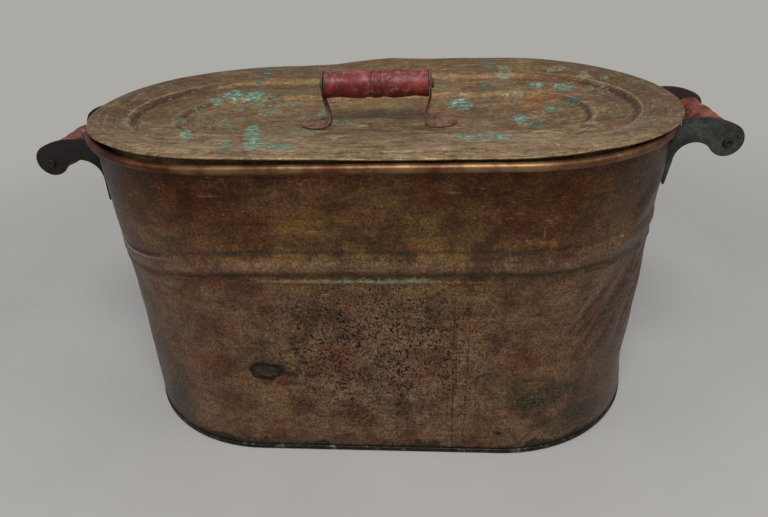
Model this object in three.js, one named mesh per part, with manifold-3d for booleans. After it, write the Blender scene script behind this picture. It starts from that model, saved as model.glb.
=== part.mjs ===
// Laundry copper boiler: an oval sheet-copper tank with a wired rim, a loose stepped lid,
// an iron-bracketed wooden handle at each end and a third one on the lid.
// Millimetres, +Z up, +X to the right end. The origin is in the middle of the tank's underside.

import * as THREE from 'three';
import { mergeVertices } from 'three/addons/utils/BufferGeometryUtils.js';
import Module from 'manifold-3d';

const wasm = await Module();
wasm.setup();

// ---------------------------------------------------------------- driving dimensions

// Sheet and fits
const sheet = 0.8;
const fitGap = 0.3;

// Tank: two round ends joined by straight sides
const tankHeight = 328.5;
const straightLength = 252;
const footRadius = 156.3;
const mouthRadius = 161.6;
const wireRadius = 3.1;
const curlEndGap = 1.1;
const upperBead = { width: 17, rise: 3.2, belowLegs: 7 };
const lowerBead = { width: 9, rise: 2.2 };
const beadSpacing = 18;
const flareDrop = 46;
const footSeam = { height: 5.5, drawIn: 2.2, shoulder: 6 };
const sideSeam = { middle: 84, width: 13, rise: 0.5, endMargin: 9 };

// Wooden grips and the rods through them
const gripLength = 106;
const gripRadius = 14;
const gripEndGap = 0.5;
// Half of a grip's outline, from its end: shares of the half length and of the radius
const gripOutline = [[1, 0.93], [0.94, 0.95], [0.68, 0.86], [0.36, 0.99], [0.17, 0.91], [0.1, 0.98], [0, 1]];
const rodRadius = 3;
const rodHead = { radius: 5, height: 2.2, crown: 3, dimple: 0.8 };

// End handles: how far the rods stand out from the rim and lie below its top
const handleReach = 35.9;
const handleDrop = { left: 37.5, right: 25 };
const bracketThickness = 3;
const lobe = { radius: 15.8, inset: 1, lift: 2.5 };
const arm = { topDrop: 0.5, bendInset: 26 };
const fingerNotch = { inset: 28, drop: 17.5 };
const leg = { width: 5.4, drop: 41.5 };
const flange = { width: 22, thickness: 2.5, margin: 3 };
const bracketRivetCount = 3;

// Lid, and where it lies on the rim
const lidPlace = { x: 2.5, y: 4 };
const lidOverhang = 0.6;
const hemWidth = 4;
const flangeRing = 50;
const landRing = 51;
const stepSlope = 4;
const stepDrop = 10.3;
const collar = { play: 4.4, depth: 22, lip: 6 };

// Lid handle, and where it stands on the lid
const lidHandlePlace = { x: -2.5, y: -4 };
const lidHandleHeight = 40.3;
const strapThickness = 2;
const strapNeckWidth = 15;
const strapWaist = 5;
const strapBend = 4.5;
const footDisc = { radius: 20, reach: 12.5 };
const lidRivetSpacing = 20;

// Rivets
const rivetShankRadius = 2;
const rivetHead = { radius: 4.4, height: 2 };
const rivetTail = { radius: 3.4, height: 1.2 };

// Facets
const endSteps = 16;
const wireSides = 8;
const gripSteps = 16;
const roundSteps = 8;
const arcSteps = 6;
const curlSteps = 10;
const foldSteps = 3;
const discSteps = 7;

// ---------------------------------------------------------------- derived dimensions

const halfStraight = straightLength / 2;
const facetAngle = Math.PI / endSteps;
const foldPitch = sheet + fitGap;
const curlRadius = wireRadius + fitGap + sheet / 2;
const rimRadius = curlRadius + sheet / 2;
const footMiddle = footRadius - sheet / 2;
const seamMiddle = footMiddle - footSeam.drawIn;
const mouthMiddle = mouthRadius - sheet / 2;
const wireHeight = tankHeight - rimRadius;
const rimOuter = mouthMiddle + curlRadius + rimRadius;
const underRim = tankHeight - 2 * rimRadius;
const rimSeat = underRim - fitGap;
const legTip = tankHeight - Math.max(handleDrop.left, handleDrop.right) - leg.drop;
const upperBeadHeight = legTip - upperBead.belowLegs - upperBead.width / 2;
const lowerBeadHeight = upperBeadHeight - beadSpacing;
const flareStart = lowerBeadHeight - flareDrop;
const armRise = handleDrop.right - arm.topDrop;
const curlGapAngle = Math.acos(1 - (sheet + curlEndGap) / curlRadius);
const rodX = halfStraight + rimOuter + handleReach;
const webInner = gripLength / 2 + gripEndGap;
const lidEdge = rimOuter + lidOverhang;
const lidFlange = foldPitch + sheet / 2;
const lidPanelTop = lidFlange + sheet / 2 - 2 * stepDrop;
const lidRodZ = lidPanelTop + lidHandleHeight;

// ---------------------------------------------------------------- materials

function finish(color, roughness, metalness) {
  return new THREE.MeshStandardMaterial({ color, roughness, metalness });
}

const tankCopper = () => finish(0x5e3f26, 0.45, 0.85);
const lidCopper = () => finish(0x77603f, 0.5, 0.8);
const bracketIron = () => finish(0x2b2c2a, 0.6, 0.6);
const rustyIron = () => finish(0x5b3d2a, 0.75, 0.5);
const redWood = () => finish(0x8c3734, 0.6, 0);

// ---------------------------------------------------------------- geometry helpers

// Points along an arc, both ends included
function arcPoints(centreX, centreY, radius, startAngle, endAngle, steps) {
  const points = [];
  for (let step = 0; step <= steps; step += 1) {
    const angle = THREE.MathUtils.degToRad(startAngle + (endAngle - startAngle) * step / steps);
    points.push(new THREE.Vector2(centreX + radius * Math.cos(angle), centreY + radius * Math.sin(angle)));
  }
  return points;
}

function enclosedVolume(position, index) {
  const a = new THREE.Vector3();
  const b = new THREE.Vector3();
  const c = new THREE.Vector3();
  let volume = 0;
  for (let corner = 0; corner < index.length; corner += 3) {
    a.fromBufferAttribute(position, index[corner]);
    b.fromBufferAttribute(position, index[corner + 1]);
    c.fromBufferAttribute(position, index[corner + 2]);
    volume += a.dot(b.cross(c)) / 6;
  }
  return volume;
}

// Joins the vertices that meet, drops triangles without area and turns the faces outward
function closeUp(geometry) {
  const bare = new THREE.BufferGeometry();
  bare.setAttribute('position', geometry.attributes.position);
  bare.setIndex(geometry.index);
  const merged = mergeVertices(bare);
  const kept = [];
  const index = merged.index.array;
  for (let corner = 0; corner < index.length; corner += 3) {
    const triangle = index.slice(corner, corner + 3);
    if (new Set(triangle).size === 3) {
      kept.push(...triangle);
    }
  }
  if (enclosedVolume(merged.attributes.position, kept) < 0) {
    kept.reverse();
  }
  merged.setIndex(kept);
  return merged;
}

function toSolid(geometry) {
  const closed = closeUp(geometry);
  return new wasm.Manifold(new wasm.Mesh({
    numProp: 3,
    vertProperties: closed.attributes.position.array,
    triVerts: Uint32Array.from(closed.index.array),
  }));
}

function fromSolid(solid) {
  const mesh = solid.getMesh();
  const geometry = new THREE.BufferGeometry();
  geometry.setAttribute('position', new THREE.BufferAttribute(mesh.vertProperties, 3));
  geometry.setIndex(new THREE.BufferAttribute(mesh.triVerts, 1));
  return geometry;
}

// A closed skin over rows of points; a row or the rows themselves may run round in a loop
function skin(rows, rowIsLoop, rowsAreLoop) {
  const width = rows[0].length;
  const positions = rows.flat().flatMap((point) => point.toArray());
  const indices = [];
  const lastRow = rowsAreLoop ? rows.length : rows.length - 1;
  const lastColumn = rowIsLoop ? width : width - 1;
  for (let row = 0; row < lastRow; row += 1) {
    const nextRow = (row + 1) % rows.length;
    for (let column = 0; column < lastColumn; column += 1) {
      const nextColumn = (column + 1) % width;
      const a = row * width + column;
      const b = nextRow * width + column;
      const c = nextRow * width + nextColumn;
      const d = row * width + nextColumn;
      indices.push(a, b, c, a, c, d);
    }
  }
  if (!rowsAreLoop) {
    for (let column = 1; column < width - 1; column += 1) {
      const end = (rows.length - 1) * width;
      indices.push(0, column, column + 1);
      indices.push(end, end + column + 1, end + column);
    }
  }
  const geometry = new THREE.BufferGeometry();
  geometry.setAttribute('position', new THREE.Float32BufferAttribute(positions, 3));
  geometry.setIndex(indices);
  return closeUp(geometry);
}

// A sheet's section: its middle line moved half the thickness to each side
function sheetSection(line, thickness) {
  const normalBetween = (from, to) => {
    const along = to.clone().sub(from).normalize();
    return new THREE.Vector2(-along.y, along.x);
  };
  const left = [];
  const right = [];
  line.forEach((point, index) => {
    const before = line[index - 1];
    const after = line[index + 1];
    const arriving = before ? normalBetween(before, point) : normalBetween(point, after);
    const leaving = after ? normalBetween(point, after) : arriving;
    const mitre = arriving.clone().add(leaving).divideScalar(1 + arriving.dot(leaving));
    left.push(point.clone().addScaledVector(mitre, thickness / 2));
    right.push(point.clone().addScaledVector(mitre, -thickness / 2));
  });
  return left.concat(right.reverse());
}

// Sweeps a section around the oval. Section x is the distance from the oval's middle line.
// A section that starts and ends on the middle line makes a plate, any other makes a ring.
function ovalSweep(section) {
  const rows = [];
  for (const side of [1, -1]) {
    for (let step = 0; step <= endSteps; step += 1) {
      const angle = Math.PI * (step / endSteps - side / 2);
      rows.push(section.map((point) => new THREE.Vector3(
        side * halfStraight + point.x * Math.cos(angle),
        point.x * Math.sin(angle),
        point.y,
      )));
    }
  }
  const isPlate = section[0].x === 0 && section[section.length - 1].x === 0;
  return skin(rows, !isPlate, true);
}

// A turned shape about the Z axis, from (radius, height) points
function turned(points, steps) {
  return new THREE.LatheGeometry(points, steps).rotateX(Math.PI / 2);
}

function roundCutter(radius, length, position, axis) {
  const cutter = new THREE.CylinderGeometry(radius, radius, length, roundSteps).rotateX(Math.PI / 2);
  cutter.applyQuaternion(new THREE.Quaternion().setFromUnitVectors(new THREE.Vector3(0, 0, 1), axis));
  cutter.translate(position.x, position.y, position.z);
  return toSolid(cutter);
}

function named(name, geometry, material) {
  const mesh = new THREE.Mesh(closeUp(geometry), material);
  mesh.name = name;
  return mesh;
}

// ---------------------------------------------------------------- rivets

// A rivet along Z: its head rests on the top of the stack and its tail is spread below it
function rivetGeometry(stack) {
  const headSeat = fitGap;
  const tailSeat = -stack - fitGap;
  return turned([
    new THREE.Vector2(0, tailSeat - rivetTail.height),
    new THREE.Vector2(rivetTail.radius, tailSeat - rivetTail.height / 2),
    new THREE.Vector2(rivetTail.radius, tailSeat),
    new THREE.Vector2(rivetShankRadius, tailSeat),
    new THREE.Vector2(rivetShankRadius, headSeat),
    new THREE.Vector2(rivetHead.radius, headSeat),
    new THREE.Vector2(rivetHead.radius * Math.SQRT1_2, headSeat + rivetHead.height * Math.SQRT1_2),
    new THREE.Vector2(0, headSeat + rivetHead.height),
  ], roundSteps);
}

function rivet(name, place, stack, material) {
  const mesh = named(name, rivetGeometry(stack), material);
  mesh.position.copy(place.position);
  mesh.quaternion.setFromUnitVectors(new THREE.Vector3(0, 0, 1), place.axis);
  return mesh;
}

function rivetHole(place, stack) {
  const length = 2 * (stack + rivetTail.height);
  return roundCutter(rivetShankRadius + fitGap, length, place.position, place.axis);
}

// ---------------------------------------------------------------- tank

// The wall's outer face above the flare's start leans out evenly up to the mouth
function wallRadius(height) {
  const share = Math.max(0, height - flareStart) / (wireHeight - flareStart);
  return footRadius + (mouthRadius - footRadius) * share;
}

const wallLean = Math.atan((mouthRadius - footRadius) / (wireHeight - flareStart));

// The round ends are flat facets. This is the facet that crosses a given y, and its x there
function facetAt(radius, y) {
  const start = Math.floor(Math.asin(y / radius) / facetAngle) * facetAngle;
  const end = start + facetAngle;
  const share = (y / radius - Math.sin(start)) / (Math.sin(end) - Math.sin(start));
  const x = halfStraight + radius * (Math.cos(start) + share * (Math.cos(end) - Math.cos(start)));
  return { x, facing: start + facetAngle / 2 };
}

// A swaged bead: a smooth ridge around the wall
function beadPoints(bead, middle) {
  return [-1, -1 / 2, 0, 1 / 2, 1].map((share) => {
    const height = middle + share * bead.width / 2;
    const rise = bead.rise * (1 + Math.cos(Math.PI * share)) / 2;
    return new THREE.Vector2(wallRadius(height) - sheet / 2 + rise, height);
  });
}

// The wall's middle line between the foot seam and the rim
function plainWallLine(highest) {
  return [
    new THREE.Vector2(footMiddle, footSeam.height + footSeam.shoulder),
    new THREE.Vector2(footMiddle, flareStart),
    ...beadPoints(lowerBead, lowerBeadHeight),
    ...beadPoints(upperBead, upperBeadHeight),
    new THREE.Vector2(wallRadius(highest) - sheet / 2, highest),
  ];
}

// Foot hook, wall and the curl over the rim wire
function tankWall(rivetPlaces) {
  const hookTurn = sheet + fitGap + sheet / 2 + foldPitch;
  const hookTip = new THREE.Vector2(seamMiddle + 2 * foldPitch, footSeam.height - sheet - 2 * fitGap);
  const hook = arcPoints(seamMiddle + foldPitch, hookTurn, foldPitch, 0, -180, foldSteps);
  const shoulder = new THREE.Vector2(seamMiddle, footSeam.height + fitGap);
  const curlEnd = THREE.MathUtils.radToDeg(curlGapAngle) - 180;
  const curl = arcPoints(mouthMiddle + curlRadius, wireHeight, curlRadius, 180, curlEnd, curlSteps);
  const section = sheetSection([hookTip, ...hook, shoulder, ...plainWallLine(underRim), ...curl], sheet);
  let wall = toSolid(ovalSweep(section)).add(sideSeamSolid());
  for (const place of rivetPlaces) {
    wall = wall.subtract(rivetHole(place, sheet + flange.thickness + fitGap));
  }
  return named('tank_wall', fromSolid(wall), tankCopper());
}

// The folded seam that joins the sheet's two ends, on the front
function sideSeamSolid() {
  const line = plainWallLine(underRim - sideSeam.endMargin);
  const section = sheetSection(line, sheet + 2 * sideSeam.rise);
  const shape = new THREE.Shape(section.map((point) => new THREE.Vector2(-point.x, point.y)));
  const strip = new THREE.ExtrudeGeometry(shape, { depth: sideSeam.width, bevelEnabled: false });
  strip.applyMatrix4(new THREE.Matrix4().makeBasis(
    new THREE.Vector3(0, 1, 0),
    new THREE.Vector3(0, 0, 1),
    new THREE.Vector3(1, 0, 0),
  ));
  strip.translate(sideSeam.middle - sideSeam.width / 2, 0, 0);
  return toSolid(strip);
}

// Flat bottom whose edge folds up and over the wall's hook
function tankBottom() {
  const outerLeg = seamMiddle + 3 * foldPitch;
  const foldTop = footSeam.height - foldPitch - sheet / 2;
  const innerLegEnd = foldTop - foldPitch;
  const line = [
    new THREE.Vector2(0, sheet / 2),
    ...arcPoints(outerLeg - foldPitch, sheet / 2 + foldPitch, foldPitch, -90, 0, foldSteps),
    ...arcPoints(outerLeg - foldPitch, foldTop, foldPitch, 0, 180, foldSteps),
    new THREE.Vector2(outerLeg - 2 * foldPitch, innerLegEnd),
  ];
  return named('tank_bottom', ovalSweep(sheetSection(line, sheet)), tankCopper());
}

function rimWire() {
  const centre = mouthMiddle + curlRadius;
  const circle = arcPoints(centre, wireHeight, wireRadius, 0, 360, wireSides);
  return named('rim_wire', ovalSweep(circle.slice(1)), rustyIron());
}

// ---------------------------------------------------------------- grips and rods

// Turned wooden grip about Z: flared ends, two swells, a middle bead and a bore
function gripGeometry() {
  const half = gripLength / 2;
  const upper = gripOutline.map(([along, share]) => new THREE.Vector2(gripRadius * share, half * along));
  const lower = upper.slice(0, -1).reverse().map((point) => new THREE.Vector2(point.x, -point.y));
  const bore = rodRadius + fitGap;
  const start = new THREE.Vector2(bore, half);
  return turned([start, ...upper, ...lower, new THREE.Vector2(bore, -half), start.clone()], gripSteps);
}

// Rod about Z with both ends peened over the plates that carry it
function rodGeometry(plateThickness) {
  const seat = webInner + plateThickness + fitGap;
  const end = seat + rodHead.height;
  const half = [
    new THREE.Vector2(0, end - rodHead.dimple),
    new THREE.Vector2(rodHead.crown, end),
    new THREE.Vector2(rodHead.radius, end - rodHead.height / 2),
    new THREE.Vector2(rodHead.radius, seat),
    new THREE.Vector2(rodRadius, seat),
  ];
  const mirrored = half.slice().reverse().map((point) => new THREE.Vector2(point.x, -point.y));
  return turned([...half, ...mirrored], roundSteps);
}

// ---------------------------------------------------------------- end brackets

// The flange's lowest and highest edge beside a rod at a given height
function flangeSpan(rodZ) {
  return [rodZ - leg.drop + flange.margin, Math.min(rimSeat, rodZ + armRise) - flange.margin];
}

// Where the flange's rivets sit on the right-hand end's back half
function bracketRivetPlaces(rodZ) {
  const places = [];
  const [lowest, highest] = flangeSpan(rodZ);
  const middleY = webInner - flange.width / 2;
  for (let count = 0; count < bracketRivetCount; count += 1) {
    const height = lowest + (highest - lowest) * (count + 1 / 2) / bracketRivetCount;
    const facet = facetAt(wallRadius(height) + fitGap + flange.thickness, middleY);
    const axis = new THREE.Vector3(
      Math.cos(facet.facing) * Math.cos(wallLean),
      Math.sin(facet.facing) * Math.cos(wallLean),
      -Math.sin(wallLean),
    );
    places.push({ position: new THREE.Vector3(facet.x, middleY, height), axis });
  }
  return places;
}

function mirroredPlace(place, sideX, sideY) {
  const mirror = new THREE.Vector3(sideX, sideY, 1);
  return { position: place.position.clone().multiply(mirror), axis: place.axis.clone().multiply(mirror) };
}

// How far out the wall stands at the web, a gap included
function wallAtWeb(radius) {
  return facetAt(radius + fitGap, webInner).x;
}

// The web's edge along the wall, halfway into the flange that it stands on
function webEdge(height) {
  return wallAtWeb(wallRadius(height) + flange.thickness / 2);
}

// Outline of the web in X and Z: arm over the rod, finger notch and a leg down the wall.
// An arm that reaches past the rim's underside is cut out around the rim.
function webShape(rodZ) {
  const lobeCentre = { x: rodX - lobe.inset, z: rodZ + lobe.lift };
  const notchCentre = { x: rodX - fingerNotch.inset, z: rodZ - fingerNotch.drop };
  const betweenX = lobeCentre.x - notchCentre.x;
  const betweenZ = lobeCentre.z - notchCentre.z;
  const notchRadius = Math.hypot(betweenX, betweenZ) - lobe.radius;
  const notchAngle = Math.atan2(betweenZ, betweenX);
  const armTop = rodZ + armRise;
  const bendX = rodX - arm.bendInset;
  const alongArm = lobeCentre.x - bendX;
  const belowArm = armTop - lobeCentre.z;
  const bendRadius = (alongArm ** 2 + belowArm ** 2 - lobe.radius ** 2) / (2 * (belowArm - lobe.radius));
  const bendZ = armTop - bendRadius;
  const bendAngle = Math.atan2(lobeCentre.z - bendZ, alongArm);
  const tipRadius = leg.width / 2;
  const tipZ = rodZ - leg.drop + tipRadius;
  const tipX = webEdge(tipZ) + tipRadius;
  const shoulderZ = Math.min(armTop, rimSeat);

  const shape = new THREE.Shape();
  shape.moveTo(tipX - tipRadius, tipZ);
  shape.lineTo(webEdge(shoulderZ), shoulderZ);
  if (armTop > rimSeat) {
    shape.lineTo(wallAtWeb(rimOuter), rimSeat);
    shape.lineTo(wallAtWeb(rimOuter), armTop);
  }
  shape.lineTo(bendX, armTop);
  shape.absarc(bendX, bendZ, bendRadius, Math.PI / 2, bendAngle, true);
  shape.absarc(lobeCentre.x, lobeCentre.z, lobe.radius, bendAngle, notchAngle - Math.PI, true);
  shape.absarc(notchCentre.x, notchCentre.z, notchRadius, notchAngle, Math.PI, false);
  shape.lineTo(tipX + tipRadius, tipZ);
  shape.absarc(tipX, tipZ, tipRadius, 0, -Math.PI, true);
  return shape;
}

// The web's foot: a plate bent to the wall, under the grip
function flangeSolid(rodZ) {
  const [lowest, highest] = flangeSpan(rodZ);
  const outerY = webInner + bracketThickness - fitGap;
  const innerY = webInner - flange.width;
  const rows = [];
  for (let step = 0; step <= foldSteps; step += 1) {
    const y = outerY + (innerY - outerY) * step / foldSteps;
    const corner = (height, out) => (
      new THREE.Vector3(facetAt(wallRadius(height) + fitGap + out, y).x, y, height)
    );
    rows.push([
      corner(lowest, 0),
      corner(lowest, flange.thickness),
      corner(highest, flange.thickness),
      corner(highest, 0),
    ]);
  }
  return toSolid(skin(rows, true, false));
}

// The right-hand end's back bracket; the others are its mirror images
function bracketGeometry(rodZ, rivetPlaces) {
  const web = new THREE.ExtrudeGeometry(webShape(rodZ), {
    depth: bracketThickness,
    bevelEnabled: false,
    curveSegments: arcSteps,
  });
  web.rotateX(Math.PI / 2);
  web.translate(0, webInner + bracketThickness, 0);
  const rodHole = roundCutter(
    rodRadius + fitGap,
    3 * bracketThickness,
    new THREE.Vector3(rodX, webInner + bracketThickness / 2, rodZ),
    new THREE.Vector3(0, 1, 0),
  );
  let bracket = toSolid(web).add(flangeSolid(rodZ)).subtract(rodHole);
  for (const place of rivetPlaces) {
    bracket = bracket.subtract(rivetHole(place, flange.thickness + fitGap));
  }
  return fromSolid(bracket);
}

function endHandle(sideName, sideX) {
  const handle = new THREE.Group();
  const rodZ = tankHeight - handleDrop[sideName];
  const rivetPlaces = bracketRivetPlaces(rodZ);
  for (const [faceName, sideY] of [['front', -1], ['back', 1]]) {
    const bracket = bracketGeometry(rodZ, rivetPlaces).scale(sideX, sideY, 1);
    handle.add(named(`${sideName}_${faceName}_bracket`, bracket, bracketIron()));
    rivetPlaces.forEach((place, index) => {
      const name = `${sideName}_${faceName}_rivet_${index + 1}`;
      const stack = sheet + flange.thickness + fitGap;
      handle.add(rivet(name, mirroredPlace(place, sideX, sideY), stack, bracketIron()));
    });
  }
  const axle = new THREE.Group();
  axle.position.set(sideX * rodX, 0, rodZ);
  axle.rotation.x = Math.PI / 2;
  axle.add(named(`${sideName}_handle_rod`, rodGeometry(bracketThickness), bracketIron()));
  axle.add(named(`${sideName}_grip`, gripGeometry(), redWood()));
  handle.add(axle);
  return handle;
}

// ---------------------------------------------------------------- lid

// A smooth step between two rings of the lid, from the inner one to the outer one
function stepLine(outerRadius, lowZ) {
  return [0, 1 / 3, 2 / 3, 1].map((share) => new THREE.Vector2(
    outerRadius - stepSlope * (1 - share),
    lowZ + stepDrop * (1 - Math.cos(Math.PI * share)) / 2,
  ));
}

// Stepped plate with its edge folded under; z is 0 at the fold's underside, which rests on the rim
function lidPan(rivetPlaces) {
  const foldRadius = foldPitch / 2;
  const foldX = lidEdge - sheet / 2 - foldRadius;
  const line = [
    new THREE.Vector2(0, lidFlange - 2 * stepDrop),
    ...stepLine(lidEdge - flangeRing - landRing, lidFlange - 2 * stepDrop),
    ...stepLine(lidEdge - flangeRing, lidFlange - stepDrop),
    ...arcPoints(foldX, lidFlange - foldRadius, foldRadius, 90, -90, foldSteps),
    new THREE.Vector2(lidEdge - hemWidth, sheet / 2),
  ];
  let pan = toSolid(ovalSweep(sheetSection(line, sheet)));
  for (const place of rivetPlaces) {
    pan = pan.subtract(rivetHole(place, strapThickness + fitGap + sheet));
  }
  return named('lid_pan', fromSolid(pan), lidCopper());
}

// Upright band under the lid that keeps it in the mouth. Its play is to the rivets inside the wall
function lidCollar() {
  const narrowest = wallRadius(tankHeight + fitGap - collar.depth) - sheet - fitGap - rivetTail.height;
  const bandRadius = narrowest - collar.play - sheet / 2;
  const lipHeight = foldPitch - fitGap - sheet / 2;
  const line = [
    new THREE.Vector2(bandRadius - collar.lip, lipHeight),
    new THREE.Vector2(bandRadius, lipHeight),
    new THREE.Vector2(bandRadius, -collar.depth),
  ];
  return named('lid_collar', ovalSweep(sheetSection(line, sheet)), lidCopper());
}

// Middle line of the right-hand strap in X and Z with its half width at each point:
// a disc around the rod, a neck that leans in and a round foot that spreads out of the bend
function strapStations() {
  const upright = webInner + strapThickness / 2;
  const footZ = lidPanelTop + fitGap + strapThickness / 2;
  const neck = strapNeckWidth / 2;
  const bendStart = upright - strapWaist;
  const footCentre = bendStart + footDisc.reach;
  const footAngle = Math.acos((footDisc.reach - strapBend) / footDisc.radius);
  const footWidth = footDisc.radius * Math.sin(footAngle);
  const discEnd = Math.PI - Math.asin(neck / gripRadius);
  const stations = [];
  for (let step = 1; step <= discSteps; step += 1) {
    const angle = discEnd * step / discSteps;
    const z = lidRodZ + gripRadius * Math.cos(angle);
    stations.push({ x: upright, z, half: gripRadius * Math.sin(angle) });
  }
  const bend = arcPoints(bendStart + strapBend, footZ + strapBend, strapBend, 180, 270, foldSteps);
  bend.forEach((point, index) => {
    const half = neck + (footWidth - neck) * (index / foldSteps) ** 2;
    stations.push({ x: point.x, z: point.y, half });
  });
  for (let step = 1; step < discSteps; step += 1) {
    const angle = footAngle + (Math.PI - footAngle) * step / discSteps;
    const x = footCentre - footDisc.radius * Math.cos(angle);
    stations.push({ x, z: footZ, half: footDisc.radius * Math.sin(angle) });
  }
  return stations;
}

function strapGeometry(rivetPlaces) {
  const stations = strapStations();
  const line = stations.map((station) => new THREE.Vector2(station.x, station.z));
  const section = sheetSection(line, strapThickness);
  const rows = stations.map((station, index) => {
    const left = section[index];
    const right = section[section.length - 1 - index];
    return [
      new THREE.Vector3(left.x, -station.half, left.y),
      new THREE.Vector3(left.x, station.half, left.y),
      new THREE.Vector3(right.x, station.half, right.y),
      new THREE.Vector3(right.x, -station.half, right.y),
    ];
  });
  const rodHole = roundCutter(
    rodRadius + fitGap,
    3 * strapThickness,
    new THREE.Vector3(webInner + strapThickness / 2, 0, lidRodZ),
    new THREE.Vector3(1, 0, 0),
  );
  let strap = toSolid(skin(rows, true, false)).subtract(rodHole);
  for (const place of rivetPlaces) {
    strap = strap.subtract(rivetHole(place, strapThickness));
  }
  return fromSolid(strap);
}

// The rivets through the right-hand strap's foot, front and back
function lidRivetPlaces() {
  const footCentre = webInner + strapThickness / 2 - strapWaist + footDisc.reach;
  const height = lidPanelTop + fitGap + strapThickness;
  return [-1, 1].map((side) => ({
    position: new THREE.Vector3(footCentre, side * lidRivetSpacing / 2, height),
    axis: new THREE.Vector3(0, 0, 1),
  }));
}

function lidHandle(rivetPlaces) {
  const handle = new THREE.Group();
  handle.position.set(lidHandlePlace.x, lidHandlePlace.y, 0);
  for (const [sideName, sideX] of [['left', -1], ['right', 1]]) {
    const strap = strapGeometry(rivetPlaces).scale(sideX, 1, 1);
    handle.add(named(`lid_strap_${sideName}`, strap, rustyIron()));
    rivetPlaces.forEach((place, index) => {
      const name = `lid_rivet_${sideName}_${['front', 'back'][index]}`;
      const stack = strapThickness + fitGap + sheet;
      handle.add(rivet(name, mirroredPlace(place, sideX, 1), stack, rustyIron()));
    });
  }
  const axle = new THREE.Group();
  axle.position.z = lidRodZ;
  axle.rotation.y = Math.PI / 2;
  axle.add(named('lid_rod', rodGeometry(strapThickness), rustyIron()));
  axle.add(named('lid_grip', gripGeometry(), redWood()));
  handle.add(axle);
  return handle;
}

function lidAssembly() {
  const lid = new THREE.Group();
  lid.position.set(lidPlace.x, lidPlace.y, tankHeight + fitGap);
  const rivetPlaces = lidRivetPlaces();
  const holes = [1, -1].flatMap((sideX) => rivetPlaces.map((place) => {
    const hole = mirroredPlace(place, sideX, 1);
    hole.position.x += lidHandlePlace.x;
    hole.position.y += lidHandlePlace.y;
    return hole;
  }));
  lid.add(lidPan(holes));
  lid.add(lidCollar());
  lid.add(lidHandle(rivetPlaces));
  return lid;
}

// ---------------------------------------------------------------- assembly

function laundryBoiler() {
  const boiler = new THREE.Group();
  const sides = [['left', -1], ['right', 1]];
  const wallPlaces = sides.flatMap(([sideName, sideX]) => (
    bracketRivetPlaces(tankHeight - handleDrop[sideName]).flatMap((place) => (
      [1, -1].map((sideY) => mirroredPlace(place, sideX, sideY))
    ))
  ));
  boiler.add(tankWall(wallPlaces));
  boiler.add(tankBottom());
  boiler.add(rimWire());
  for (const [sideName, sideX] of sides) {
    boiler.add(endHandle(sideName, sideX));
  }
  boiler.add(lidAssembly());
  return boiler;
}

export default laundryBoiler();
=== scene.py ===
import math

import bmesh
import bpy
import numpy as np
from mathutils import Matrix, Vector

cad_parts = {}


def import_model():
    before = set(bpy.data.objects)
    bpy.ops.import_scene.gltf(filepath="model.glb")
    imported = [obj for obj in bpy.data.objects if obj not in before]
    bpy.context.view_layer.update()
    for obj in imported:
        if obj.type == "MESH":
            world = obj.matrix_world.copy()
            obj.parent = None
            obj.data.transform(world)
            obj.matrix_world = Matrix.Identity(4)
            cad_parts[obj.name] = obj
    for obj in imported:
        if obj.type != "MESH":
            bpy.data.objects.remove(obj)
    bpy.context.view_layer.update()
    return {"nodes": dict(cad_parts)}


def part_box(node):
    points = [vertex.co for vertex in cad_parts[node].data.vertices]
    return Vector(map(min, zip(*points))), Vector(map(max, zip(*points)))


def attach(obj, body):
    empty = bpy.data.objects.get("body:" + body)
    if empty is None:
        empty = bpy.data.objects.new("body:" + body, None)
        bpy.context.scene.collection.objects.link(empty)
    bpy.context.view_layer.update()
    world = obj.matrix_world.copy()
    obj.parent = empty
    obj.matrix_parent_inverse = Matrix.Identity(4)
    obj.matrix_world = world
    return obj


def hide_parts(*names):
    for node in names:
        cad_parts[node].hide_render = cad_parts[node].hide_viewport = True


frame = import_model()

MM = 0.001

# Sizes in millimetres, as the solids have them
HALF = 126.0
FOOT, MOUTH, FLARE = 156.3, 161.6, 170.0
SHEET, FIT = 0.8, 0.3
RIM_Z, RIM_R, RIM = 324.3, 165.0, 4.2
LOW_EDGE = 216.5
SEAM_X, SEAM_WIDTH = 84.0, 13.0
LID_X, LID_Y, LID_Z, LID_EDGE = 2.5, 4.0, 328.8, 169.8
STEP = 10.3
ROD_X, ROD_Z = 331.1, {"left": 291.0, "right": 303.5}
LID_ROD_Z = 350.4
WEB, WEB_THICK = 53.5, 3.0
GRIP, GRIP_R = 106.0, 14.0
LEG_DROP, ARM_RISE, ARM_BEND, WEB_SEAT = 41.5, 24.5, 26.0, 319.8
STRAP_WAIST, STRAP_NECK, STRAP_REACH = 5.0, 7.5, 12.5

# Radius at which the way along the tank is measured, and where the wall's sampled zones end
END_ARC = 158.0
FOOT_ZONE, BEADS_FROM, BEADS_TO, WALL_TOP = 14.0, 190.0, 246.0, 321.0


# ------------------------------------------------------------------ shapes

def smooth(t):
    t = np.clip(t, 0, 1)
    return t * t * (3 - 2 * t)


def waves(a, b, size, seed):
    """A gentle wavy field of about -1 to 1 over two coordinates, with waves of about the size given."""
    turn = np.random.default_rng(seed)
    total = 0
    for _ in range(7):
        angle, phase, stretch = turn.uniform(0, math.tau), turn.uniform(0, math.tau), turn.uniform(0.6, 1.7)
        total = total + np.sin(
            math.tau / (size * stretch) * (a * math.cos(angle) + b * math.sin(angle)) + phase)
    return total / 3.5


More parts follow.
